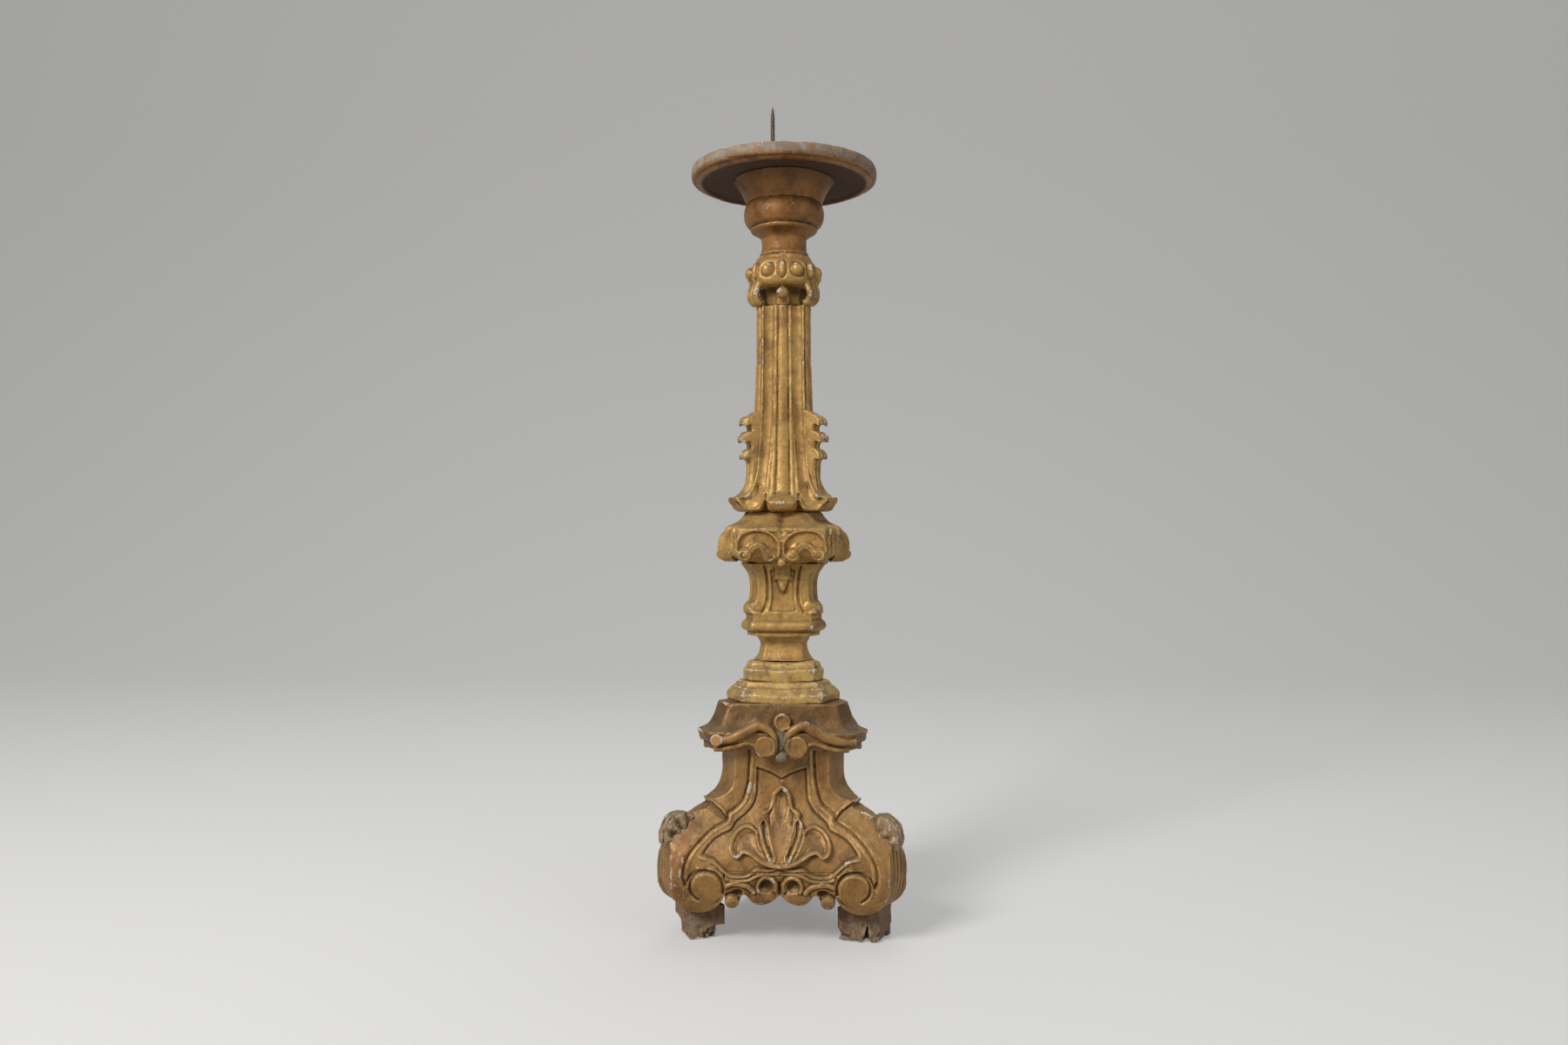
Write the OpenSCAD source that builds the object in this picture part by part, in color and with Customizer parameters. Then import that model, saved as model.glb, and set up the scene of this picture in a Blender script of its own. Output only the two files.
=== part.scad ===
// Carved and gilded pricket candle stand with three sides and three scroll legs.
// Z is up, the floor is Z = 0 and the stand's centre line is the Z axis.
// The front face looks along -Y, and the other two look to the right rear and the left rear.
// Every three-sided piece has a flat in front of each face and a narrow flat on each corner.

/* [Heights of the pieces] */
// Height of the feet
foot_h = 38; // [30:1:46]
// Height of the base between the feet and the roof
base_h = 168; // [160:1:185]
// Height of the roof
roof_h = 50; // [46:1:60]
// Height of the lower plinth
plinth_lower_h = 22; // [16:1:30]
// Height of the upper plinth
plinth_upper_h = 22; // [16:1:30]
// Height of the neck above the plinths
neck_h = 28; // [22:1:40]
// Height of the waisted pedestal under the knop
pedestal_h = 82; // [76:1:100]
// Height of the knop
knop_h = 58; // [52:1:70]
// Height of the fluted shaft
shaft_h = 234; // [210:1:280]
// Height of the beaded collar
collar_h = 57; // [52:1:66]
// Height of the turned stem under the pan
stem_h = 88; // [80:1:100]

/* [Base] */
// Distance from the centre line to the foot of a leg, on its corner
ankle_r = 130; // [122:1:136]
// Distance from the centre line to a leg's knee
knee_r = 147; // [140:1:155]
// Height of the knee above the feet
knee_rise = 38; // [34:1:44]
// Distance from the centre line to a leg's shoulder
shoulder_r = 98; // [93:1:103]
// Height of the shoulder above the feet
shoulder_rise = 97; // [92:1:102]
// Depth of the notch over the shoulder
shoulder_notch = 4; // [2:0.5:6]
// Distance from the centre line to the base's corners under the roof
post_r = 70; // [66:1:74]
// Distance from the centre line to the base's faces under the roof
post_flat = 50; // [47:1:52]
// Distance from the centre line to the base's faces at the feet
ankle_flat = 83; // [80:1:85]
// Distance from the centre line to the base's faces at the knees
knee_flat = 92; // [89:1:94]
// Height above the feet at which the flare turns upright
flare_rise = 140; // [134:1:146]
// Thickness of the three panel boards
panel_t = 18; // [14:1:20]
// Thickness of a leg through its knee
leg_t = 44; // [40:1:48]
// Thickness of a leg under the roof
post_t = 22; // [18:1:24]
// Half the width of a panel at its foot
panel_foot_w = 102; // [100:1:104]
// Half the width of a panel at its waist
panel_waist_w = 38; // [36:1:40]
// Width of the raised strap round a panel
strap_w = 11; // [8:0.5:14]
// Depth of the sunk field inside the strap
field_depth = 2; // [1:0.5:3]
// Height of the panel's lower edge above the feet
panel_rise = 44; // [42:1:47]
// Thickness of the block inside the base, under the roof
top_block_t = 18; // [16:1:24]
// Thickness of the glue blocks behind the legs
corner_block_t = 14; // [10:1:18]
// Height of the glue blocks
corner_block_h = 34; // [24:1:40]

/* [Volutes and carving of the base] */
// Distance of a leg's volute from the middle of the face
volute_x = 80.5; // [78:0.5:83]
// Height of a leg's volute above the feet
volute_rise = 27; // [25:0.5:29]
// Radius of a leg's volute
volute_r = 19; // [17:0.5:20]
// Height of a volute above its face
volute_out = 4; // [2:0.5:6]
// Width of the groove round and in a volute
volute_groove = 3; // [2:0.5:4]
// Width of the leaf knob on a knee
leg_leaf_w = 28; // [22:1:34]
// Height of the leaf knob
leg_leaf_h = 33; // [28:1:38]
// How far the leaf knob stands out of the knee
leg_leaf_out = 12; // [8:0.5:16]
// Height of the palmette
palmette_h = 74; // [66:1:78]
// Height of the palmette's foot above the feet
palmette_rise = 52; // [50:1:56]
// How far the palmette stands out of the field
palmette_out = 7; // [5:0.5:9]
// Half the width of the apron
apron_w = 60; // [58:1:62]
// Thickness of the apron boards
apron_t = 16; // [12:1:18]
// Radius of the scallop knobs along the apron
apron_knob_r = 8.5; // [7:0.5:9.5]

/* [Feet] */
// Length of a foot, from the centre line outwards
foot_l = 43; // [38:1:48]
// Width of a foot
foot_w = 50; // [44:1:54]
// Distance from the centre line to a foot's outer end
foot_r = 127; // [122:1:128]
// Radius of the foot dowels
foot_dowel_r = 6; // [4:0.5:8]
// Length of the foot dowels
foot_dowel_l = 40; // [30:1:46]

/* [Roof] */
// Distance from the centre line to the eave's corners
eave_r = 102; // [98:1:106]
// Distance from the centre line to the eave's faces
eave_flat = 66; // [64:1:69]
// Distance from the centre line to the roof's corners at the top
ridge_r = 77; // [74:1:80]
// Distance from the centre line to the roof's faces at the top
ridge_flat = 51; // [49:1:54]
// Height of the eave's upper edge above the roof's underside
eave_h = 20; // [18:1:22]
// Height of the fillet under the eave
eave_fillet_h = 8; // [6:1:10]
// How far the fillet lies behind the eave
eave_fillet_in = 6; // [4:0.5:8]
// Thickness of the eave roll
roll_t = 10; // [8:0.5:12]
// How far the roll stands out of the eave
roll_out = 5; // [4:0.5:7]
// Radius of the roof's volutes
roof_volute_r = 13; // [11:0.5:14]
// Distance of the roof's volutes from the middle of the face
roof_volute_x = 16; // [15:0.5:17]

/* [Plinths and neck] */
// Distance from the centre line to the lower plinth's faces
plinth_lower_flat = 50; // [46:1:51]
// Distance from the centre line to the lower plinth's corners
plinth_lower_r = 65; // [60:1:68]
// Distance from the centre line to the upper plinth's faces
plinth_upper_flat = 34; // [32:1:38]
// Distance from the centre line to the upper plinth's corners
plinth_upper_r = 49; // [46:1:54]
// Distance from the centre line to the neck's faces at its narrowest
neck_flat = 19.7; // [18:0.1:23]
// Distance from the centre line to the neck's corners at its narrowest
neck_r = 27.6; // [26:0.1:30]

/* [Pedestal and knop] */
// Distance from the centre line to the block moulding's faces
block_flat = 36; // [33:1:38]
// Distance from the centre line to the block moulding's corners
block_r = 48; // [45:1:51]
// Height of the block moulding
block_h = 27; // [22:1:32]
// Distance from the centre line to the waist's faces
waist_flat = 28.4; // [26:0.1:30]
// Distance from the centre line to the waist's corners
waist_r = 38.5; // [36:0.1:41]
// Distance from the centre line to the knop's faces
knop_flat = 54; // [51:1:56]
// Distance from the centre line to the knop's corners
knop_r = 70; // [67:1:73]
// Radius of the knop's C-scrolls
c_scroll_r = 22; // [20:0.5:23]
// Distance of the C-scrolls from the middle of the face
c_scroll_x = 26; // [25:0.5:27]
// How far the C-scrolls stand out of the knop
c_scroll_out = 5; // [3:0.5:7]

/* [Shaft and collar] */
// Distance from the centre line to the shaft's faces at its foot
shaft_foot_flat = 46; // [43:1:48]
// Distance from the centre line to the shaft's corners at its foot
shaft_foot_r = 64; // [60:1:67]
// Distance from the centre line to the shaft's faces at the top
shaft_top_flat = 22.5; // [20.5:0.5:24.5]
// Distance from the centre line to the shaft's corners at the top
shaft_top_r = 32; // [30:0.5:34]
// Width of the reed down the middle of each face, at its foot
reed_w = 13; // [10:0.5:14]
// Depth of the flutes beside the reed
flute_depth = 3; // [2:0.5:4]
// How far the leaf curls stand out of the shaft's corners
curl_out = 19; // [15:0.5:22]
// Width of the leaf curls
curl_t = 18; // [14:1:22]
// Distance from one leaf tip to the next
curl_pitch = 18; // [16:0.5:20]
// Height of the lowest leaf tip over the shaft's foot
curls_rise = 72; // [68:1:78]
// Radius of the collar's ring
collar_r = 39.5; // [38:0.5:43]
// Number of round beads on the collar
beads = 9; // [6:3:12]
// Radius of the round beads
bead_r = 7.5; // [6:0.5:8]
// Radius of the balls under the collar
ball_r = 7.5; // [6:0.5:9]

/* [Stem, pan and spike] */
// Radius of the stem's neck
stem_neck_r = 26; // [23:0.5:29]
// Radius of the stem's bulb
bulb_r = 45.5; // [42:0.5:49]
// Radius of the stem's cup, under the pan
cup_r = 58; // [54:0.5:64]
// Radius of the pan's rim
pan_r = 105.5; // [98:0.5:115]
// Thickness of the pan's board
pan_t = 9; // [7:0.5:12]
// Depth of the dish on top of the pan
dish_depth = 4; // [2:0.5:4]
// Width of the pan's rim
rim_w = 14; // [10:0.5:18]
// Drop of the rim below the pan's board
rim_drop = 4; // [2:0.5:6]
// Radius of the iron spike
spike_r = 2.5; // [2:0.1:3.5]
// Length of the spike's straight part, above the pan
spike_l = 66; // [50:1:90]
// Length of the spike's point
spike_point = 12; // [8:1:20]
// Length of the spike driven into the wood
tang_l = 30; // [22:1:36]
// Radius of the part driven into the wood
tang_r = 2; // [1.5:0.1:2.4]
// Depth of the countersink round the spike, and how much wider than the spike it is
sink = 0.6; // [0.3:0.1:1]
// Distance of the spike from the centre line, to the left
spike_x = 13; // [12.5:0.5:20]

/* [Joinery] */
// Radius of the spigot between stem and pan
spigot_r = 9; // [7:0.5:9.5]
// Length of the spigot
spigot_l = 6; // [4:0.5:6.5]
// Radius of the tenon under the stem
tenon_r = 11; // [9:0.5:13]
// How far the tenon goes into the shaft
tenon_in_shaft = 18; // [12:1:30]
// Radius of the dowel in the knop
upper_dowel_r = 12; // [9:0.5:14]
// Radius of the dowel in the base and neck
lower_dowel_r = 10; // [8:0.5:12]
// How far a dowel goes into its last piece
dowel_depth = 40; // [30:1:44]
// Clearance round tenons, dowels and the spike
fit_gap = 0.15; // [0.05:0.05:0.3]

/* [Hidden] */
$fn = 64;

// Directions that the three faces look in, and those of the three corners
front = -90;
right = 30;
left = 150;
front_right = -30;
back = 90;
front_left = -150;
faces = [front, right, left];
corners = [front_right, back, front_left];
// Longer than any piece is wide
reach = 200;
// How deep raised carving is rooted in its own piece
root = 2;

// Levels, from the floor up
base_z = foot_h;
roof_z = base_z + base_h;
plinth_z = roof_z + roof_h;
plinth_upper_z = plinth_z + plinth_lower_h;
neck_z = plinth_upper_z + plinth_upper_h;
pedestal_z = neck_z + neck_h;
knop_z = pedestal_z + pedestal_h;
shaft_z = knop_z + knop_h;
collar_z = shaft_z + shaft_h;
stem_z = collar_z + collar_h;
pan_z = stem_z + stem_h;
knee_z = base_z + knee_rise;
shoulder_z = base_z + shoulder_rise;
flare_z = base_z + flare_rise;
panel_z = base_z + panel_rise;
eave_z = roof_z + eave_h;

gold = "darkgoldenrod";
dark_gold = "goldenrod";
bare_wood = "tan";
iron = "dimgray";

// A curve from a to d that leaves towards b and arrives from c
function curve(a, b, c, d, steps = 6) = [
    for (i = [0 : steps])
        let (t = i / steps, s = 1 - t)
            s * s * s * a + 3 * s * s * t * b + 3 * s * t * t * c + t * t * t * d
];

// Two runs of points, where the second starts at the first one's end
function join(first, second) = concat(first, [for (i = [1 : len(second) - 1]) second[i]]);

// The same side seen from the other end
function backwards(points) = [for (i = [len(points) - 1 : -1 : 0]) points[i]];

// Half an outline together with its mirror image
function both_sides(half) =
    concat(half, [for (p = backwards(half)) if (p[0] > 0.01) [-p[0], p[1]]]);

// A side moved outwards
function moved_out(side, by) = [for (p = side) [p[0] + by, p[1]]];

// A spiral groove: its radius falls from r_out to r_in over the turn
function spiral(r_out, r_in, from, to, steps) = [
    for (i = [0 : steps])
        let (t = i / steps, a = from + (to - from) * t, r = r_out + (r_in - r_out) * t)
            [r * cos(a), r * sin(a)]
];

// Everything behind a side, on the face or corner that looks towards an angle
module behind(side, angle) {
    top = side[len(side) - 1][1];
    rotate([0, 0, angle])
        rotate([90, 0, 0])
            linear_extrude(2 * reach, center = true)
                polygon(concat(side, [[-reach, top], [-reach, side[0][1]]]));
}

// A body with three faces and three corners, from its two sides
module three_sided(flat, corner) {
    intersection() {
        intersection_for (angle = faces) behind(flat, angle);
        intersection_for (angle = corners) behind(corner, angle);
    }
}

// An outline drawn as one sees it from the front, carried from the centre line to an angle
module seen_from(angle) {
    rotate([0, 0, angle + 90])
        rotate([90, 0, 0])
            linear_extrude(reach)
                children();
}

// Carving between a side and a parallel one outside it
module carving(side, out, angle) {
    difference() {
        intersection() {
            seen_from(angle) children();
            behind(moved_out(side, out), angle);
        }
        behind(side, angle);
    }
}

// Carving that stands out of a side, with its root in the wood behind it
module raised(side, out, angle) {
    carving(moved_out(side, -root), out + root, angle) children();
}

// An outline and its mirror image
module mirrored() {
    children();
    mirror([1, 0]) children();
}

// A petal between two arcs, standing on the origin
module petal(width, height) {
    r = (width * width + height * height) / (4 * width);
    translate([0, height / 2])
        intersection() {
            translate([r - width / 2, 0]) circle(r);
            translate([width / 2 - r, 0]) circle(r);
        }
}

// A round hole or rod along the centre line
module rod(r, bottom, top) {
    translate([0, 0, bottom]) cylinder(r = r, h = top - bottom);
}

// ---- Base ----

base_corner_low = join(
    curve([ankle_r, base_z], [ankle_r + 10, base_z + 8], [knee_r, knee_z - 18], [knee_r, knee_z], 4),
    curve([knee_r, knee_z], [knee_r, shoulder_z - 17], [shoulder_r + 42, shoulder_z - 3],
          [shoulder_r, shoulder_z + 8], 7));
base_corner_high = concat(
    curve([shoulder_r - 1, shoulder_z + 15], [shoulder_r - 12, shoulder_z + 17],
          [post_r, flare_z - 20], [post_r, flare_z], 6),
    [[post_r, roof_z]]);
base_corner = concat(
    base_corner_low, [[shoulder_r - shoulder_notch, shoulder_z + 9]], base_corner_high);
base_flat = concat(
    join(
        curve([ankle_flat, base_z], [ankle_flat + 5, base_z + 8], [knee_flat, knee_z - 18],
              [knee_flat, knee_z], 4),
        curve([knee_flat, knee_z], [knee_flat, knee_z + 36], [post_flat + 2, flare_z - 50],
              [post_flat, flare_z], 9)),
    [[post_flat, roof_z]]);
hollow_corner = concat(
    join(
        curve([ankle_r - leg_t, base_z], [ankle_r - leg_t + 10, base_z + 8],
              [knee_r - leg_t, knee_z - 18], [knee_r - leg_t, knee_z], 4),
        curve([knee_r - leg_t, knee_z], [knee_r - leg_t, knee_z + 36],
              [post_r - post_t, flare_z - 50], [post_r - post_t, flare_z], 6)),
    [[post_r - post_t, roof_z]]);
hollow_flat = moved_out(base_flat, -panel_t);

volute_z = base_z + volute_rise;
volute_seat_r = volute_r + volute_groove;

// The space that a leg's volute and its groove take from the panel and the apron
module volute_seats() {
    mirrored() translate([volute_x, volute_z]) circle(volute_seat_r);
}

// Half the outline of a panel, up its right edge
panel_edge = concat(
    curve([panel_foot_w, volute_z], [panel_foot_w, volute_z + 34], [panel_foot_w - 18, shoulder_z - 15],
          [panel_waist_w + 22, shoulder_z - 3], 6),
    curve([panel_waist_w + 19, shoulder_z + 3], [panel_waist_w + 6, shoulder_z + 11],
          [panel_waist_w, shoulder_z + 21], [panel_waist_w, shoulder_z + 35], 4),
    [[panel_waist_w + 3, roof_z]]);

module panel_outline() {
    difference() {
        polygon(both_sides(concat([[0, panel_z], [apron_w, panel_z]], panel_edge)));
        volute_seats();
    }
}

// The sunk field inside the strap: a belly below, a bracketed top above
field_edge = concat(
    curve([panel_foot_w - strap_w - 8, knee_z + 17], [panel_foot_w - strap_w - 12, knee_z + 34],
          [panel_waist_w + 24, shoulder_z - 15], [panel_waist_w + 6, shoulder_z - 7], 5),
    curve([panel_waist_w + 2, shoulder_z], [panel_waist_w - 6, shoulder_z + 8],
          [panel_waist_w - strap_w, shoulder_z + 16], [panel_waist_w - strap_w, shoulder_z + 30], 4),
    [[panel_waist_w - strap_w, flare_z + 2], [6, flare_z - 7], [0, flare_z - 12]]);

module field_outline() {
    polygon(both_sides(concat([[0, panel_z + 6], [apron_w - 8, panel_z + 6]], field_edge)));
}

module base_panel(angle) {
    color(gold)
        difference() {
            carving(hollow_flat, panel_t, angle) panel_outline();
            carving(moved_out(base_flat, -field_depth), field_depth + 1, angle) field_outline();
        }
}

// A petal of the palmette, leaning outwards
module leaning(x, z, lean, width, height) {
    translate([x, z]) rotate(-lean) petal(width, height);
}

module palmette(angle) {
    field = moved_out(base_flat, -field_depth);
    root_z = base_z + palmette_rise;
    lobe_h = palmette_h * 0.5;
    color(dark_gold) {
        // Low leaf: side shells, pods and the stalk
        carving(field, palmette_out - 3, angle) {
            mirrored() {
                leaning(4, root_z + 1, 64, 24, lobe_h + 12);
                leaning(20, root_z + 8, 30, 22, lobe_h - 10);
                leaning(5, root_z + 22, 30, 12, lobe_h + 4);
            }
            translate([-9, root_z]) square([18, 12]);
        }
        // High leaf: the middle lobe and the two pods
        carving(field, palmette_out, angle) {
            translate([0, root_z + palmette_h - lobe_h - 4]) petal(22, lobe_h + 4);
            mirrored() leaning(3, root_z + 1, 14, 12, lobe_h);
            translate([-5, root_z + 4]) square([10, palmette_h - lobe_h]);
        }
    }
}

module apron_outline() {
    arch_z = panel_z - 22;
    difference() {
        union() {
            translate([-apron_w, arch_z]) square([2 * apron_w, panel_z - arch_z]);
            mirrored() {
                translate([apron_knob_r + 1.5, arch_z + 6]) circle(apron_knob_r + 2.5);
                translate([2 * apron_knob_r + 6.5, arch_z - 7]) circle(apron_knob_r);
                translate([apron_w - apron_knob_r, arch_z - 12]) circle(apron_knob_r);
                translate([apron_w - 12 - apron_knob_r, arch_z - 12]) square([12, 14]);
            }
        }
        volute_seats();
    }
}

module apron(angle) {
    eye_x = apron_knob_r + 1.5;
    eye_z = panel_z - 16;
    color(gold) {
        difference() {
            carving(moved_out(base_flat, -apron_t), apron_t, angle) apron_outline();
            carving(moved_out(base_flat, -3), 4, angle)
                mirrored() translate([eye_x, eye_z]) circle(apron_knob_r - 3);
        }
        // Rim of the two small scrolls and the strap along the top
        raised(base_flat, 2, angle)
            difference() {
                mirrored() translate([eye_x, eye_z]) circle(eye_x + 0.6);
                mirrored() translate([eye_x, eye_z]) circle(apron_knob_r - 1.5);
            }
    }
}

// The volute's raised eye, with its spiral groove
module volute(angle, side) {
    steps = 20;
    turn_from = side > 0 ? 200 : -20;
    turn = side > 0 ? -330 : 330;
    outer = spiral(volute_r - 1, volute_r * 0.45, turn_from, turn_from + turn, steps);
    inner = spiral(volute_r - 1 - volute_groove, volute_r * 0.45 - 1.5, turn_from, turn_from + turn, steps);
    difference() {
        raised(base_flat, volute_out, angle)
            translate([side * volute_x, volute_z]) circle(volute_r);
        carving(moved_out(base_flat, volute_out - 2), 3, angle)
            translate([side * volute_x, volute_z]) polygon(concat(outer, backwards(inner)));
    }
}

module scroll_leg(angle) {
    color(gold) {
        difference() {
            three_sided(base_flat, base_corner);
            three_sided(hollow_flat, hollow_corner);
            rotate([0, 0, angle]) translate([-reach, -reach, 0]) cube([reach + 20, 2 * reach, reach * 2]);
            for (face = [angle - 60, angle + 60]) {
                carving(moved_out(hollow_flat, -fit_gap), panel_t + 1, face) panel_outline();
                seen_from(face)
                    difference() {
                        translate([-apron_w, 0]) square([2 * apron_w, panel_z]);
                        volute_seats();
                    }
            }
            rotate([0, 0, angle])
                translate([foot_r - foot_l / 2, 0, 0])
                    rod(foot_dowel_r + fit_gap, base_z - 1, base_z + foot_dowel_l / 2);
        }
        volute(angle - 60, 1);
        volute(angle + 60, -1);
    }
}

leaf_z = knee_z + 27;
leaf_side = curve([knee_r - 20, leaf_z - 1], [knee_r + leg_leaf_out - 6, leaf_z + 6],
                  [knee_r + leg_leaf_out - 12, leaf_z + leg_leaf_h], [shoulder_r + 17, leaf_z + leg_leaf_h], 8);

module leg_leaf(angle) {
    lobe_r = leg_leaf_w / 4;
    color(dark_gold)
        difference() {
            intersection() {
                behind(leaf_side, angle);
                seen_from(angle)
                    union() {
                        translate([-lobe_r, leaf_z]) square([2 * lobe_r, leg_leaf_h]);
                        mirrored() {
                            translate([lobe_r, leaf_z + leg_leaf_h * 0.72]) circle(lobe_r);
                            translate([lobe_r * 0.8, leaf_z + leg_leaf_h * 0.35]) circle(lobe_r);
                        }
                    }
            }
            three_sided(base_flat, base_corner);
        }
}

module corner_blocks() {
    bottom = knee_z + 8;
    color(bare_wood)
        difference() {
            intersection() {
                three_sided(hollow_flat, hollow_corner);
                translate([-reach, -reach, bottom]) cube([2 * reach, 2 * reach, corner_block_h]);
            }
            intersection_for (angle = corners) behind(moved_out(hollow_corner, -corner_block_t), angle);
        }
}

module top_block() {
    block_z = roof_z - top_block_t;
    color(bare_wood)
        difference() {
            intersection() {
                three_sided(hollow_flat, hollow_corner);
                translate([-reach, -reach, block_z]) cube([2 * reach, 2 * reach, top_block_t]);
            }
            rod(lower_dowel_r + fit_gap, lower_dowel_z, roof_z + 1);
        }
}

// ---- Feet ----

foot_dowel_z = foot_h - foot_dowel_l / 2;

// The block tapers to the floor, and its outer end steps back at the bottom
module foot(angle) {
    step = 4;
    color(bare_wood)
        rotate([0, 0, angle])
            difference() {
                intersection() {
                    rotate([90, 0, 0])
                        linear_extrude(foot_w, center = true)
                            polygon([
                                [foot_r - foot_l, foot_h], [foot_r - foot_l + step, 0],
                                [foot_r - step, 0], [foot_r - step, foot_h / 2],
                                [foot_r, foot_h / 2 + step], [foot_r, foot_h]
                            ]);
                    rotate([90, 0, 90])
                        linear_extrude(reach)
                            polygon([
                                [-foot_w / 2, foot_h], [-foot_w / 2, foot_h / 3], [-foot_w / 2 + step, 0],
                                [foot_w / 2 - step, 0], [foot_w / 2, foot_h / 3], [foot_w / 2, foot_h]
                            ]);
                }
                // Split in the end grain
                rotate([90, 0, 90])
                    linear_extrude(reach)
                        polygon([[3, -1], [11, -1], [6, foot_h / 2]]);
                translate([foot_r - foot_l / 2, 0, 0])
                    rod(foot_dowel_r + fit_gap, foot_dowel_z, foot_h + 1);
            }
}

module foot_dowels() {
    color(bare_wood)
        for (angle = corners)
            rotate([0, 0, angle])
                translate([foot_r - foot_l / 2, 0, 0])
                    rod(foot_dowel_r, foot_dowel_z, foot_dowel_z + foot_dowel_l - 1);
}

// ---- Roof ----

function roof_side(ridge, eave) = concat(
    [[eave - eave_fillet_in, roof_z], [eave - eave_fillet_in, roof_z + eave_fillet_h],
     [eave, roof_z + eave_fillet_h]],
    let (run = eave - ridge)
        curve([eave, eave_z], [eave - 0.6 * run, eave_z + 2], [ridge + 0.25 * run, plinth_z - 17],
              [ridge, plinth_z], 6));

module roof_cap() {
    color(gold)
        difference() {
            three_sided(roof_side(ridge_flat, eave_flat), roof_side(ridge_r, eave_r));
            rod(lower_dowel_r + fit_gap, roof_z - 1, plinth_z + 1);
        }
}

roof_volute_z = roof_z + eave_fillet_h - 1;

// The roll: up over the inner side of the volute, then down to the corner
module roll_outline() {
    crest_z = roof_volute_z + roof_volute_r + roll_t + 2;
    inner_x = roof_volute_x - roof_volute_r;
    crest_x = roof_volute_x + 6;
    end_x = (eave_r - eave_flat / 2) / cos(30);
    low_z = eave_z - roll_t;
    polygon(concat(
        curve([inner_x, roof_volute_z], [inner_x, crest_z - 8], [crest_x - 10, crest_z], [crest_x, crest_z], 5),
        curve([crest_x + 4, crest_z], [crest_x + 18, crest_z - 1], [end_x - 30, eave_z], [end_x, eave_z], 6),
        curve([end_x, low_z], [end_x - 30, low_z], [crest_x + 16, crest_z - roll_t],
              [crest_x, crest_z - roll_t], 6),
        [[roof_volute_x, roof_volute_z]]));
    translate([roof_volute_x, roof_volute_z]) circle(roof_volute_r);
}

// Something that hangs in front of the roof and the base, out to a distance from the centre line
module applied_to_roof(out, angle) {
    difference() {
        intersection() {
            seen_from(angle) children();
            behind([[out, roof_z - 2 * roof_volute_r], [out, plinth_z - 6]], angle);
            for (side = [-1, 1])
                behind([[eave_r, base_z], [eave_r, plinth_z]], angle + 60 * side);
        }
        behind(roof_side(ridge_flat, eave_flat), angle);
        behind(base_flat, angle);
    }
}

module roof_scrolls(angle) {
    ball = roof_volute_x / 2 - 1;
    cup_z = eave_z + roof_volute_r;
    color(dark_gold) {
        applied_to_roof(eave_flat + roll_out, angle) mirrored() roll_outline();
        applied_to_roof(eave_flat + roll_out + 2, angle)
            mirrored() translate([roof_volute_x, roof_volute_z]) circle(roof_volute_r - volute_groove);
        // Cup between the crests and drop between the volutes
        applied_to_roof(eave_flat + roll_out - 2, angle) {
            translate([0, roof_volute_z + roof_volute_r + 2]) petal(18, 24);
            translate([-ball / 2, roof_volute_z - roof_volute_r]) square([ball, roof_volute_r + 16]);
            translate([0, roof_volute_z - roof_volute_r]) circle(ball);
        }
    }
}

// ---- Plinths and neck ----

module plinth_lower() {
    bevel = plinth_lower_h / 3;
    flat = [[plinth_lower_flat - 1, plinth_z], [plinth_lower_flat, plinth_z + 2],
            [plinth_lower_flat, plinth_z + bevel], [plinth_lower_flat - 4, plinth_upper_z - bevel],
            [plinth_lower_flat - 11, plinth_upper_z - 2], [plinth_lower_flat - 12, plinth_upper_z]];
    corner = [for (p = flat) [p[0] + plinth_lower_r - plinth_lower_flat, p[1]]];
    color(gold)
        difference() {
            three_sided(flat, corner);
            rod(lower_dowel_r + fit_gap, plinth_z - 1, plinth_upper_z + 1);
        }
}

module plinth_upper() {
    lip = 4;
    flat = [[plinth_upper_flat, plinth_upper_z], [plinth_upper_flat, neck_z - 2 * lip],
            [plinth_upper_flat - 2, neck_z - 2 * lip], [plinth_upper_flat - 2, neck_z - lip],
            [plinth_upper_flat - 5, neck_z - 1], [plinth_upper_flat - 6, neck_z]];
    corner = moved_out(flat, plinth_upper_r - plinth_upper_flat);
    color(gold)
        difference() {
            three_sided(flat, corner);
            rod(lower_dowel_r + fit_gap, plinth_upper_z - 1, neck_z + 1);
        }
}

module lower_neck() {
    waist = neck_z + neck_h * 0.7;
    flat = join(
        curve([plinth_upper_flat - 7, neck_z], [neck_flat + 3, neck_z + 3], [neck_flat, waist - 8],
              [neck_flat, waist], 5),
        curve([neck_flat, waist], [neck_flat, pedestal_z - 3], [neck_flat + 1, pedestal_z - 1],
              [neck_flat + 4, pedestal_z], 3));
    corner = moved_out(flat, neck_r - neck_flat);
    color(gold)
        difference() {
            three_sided(flat, corner);
            rod(lower_dowel_r + fit_gap, neck_z - 1, pedestal_z + 1);
        }
}

// ---- Pedestal and knop ----

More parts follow.
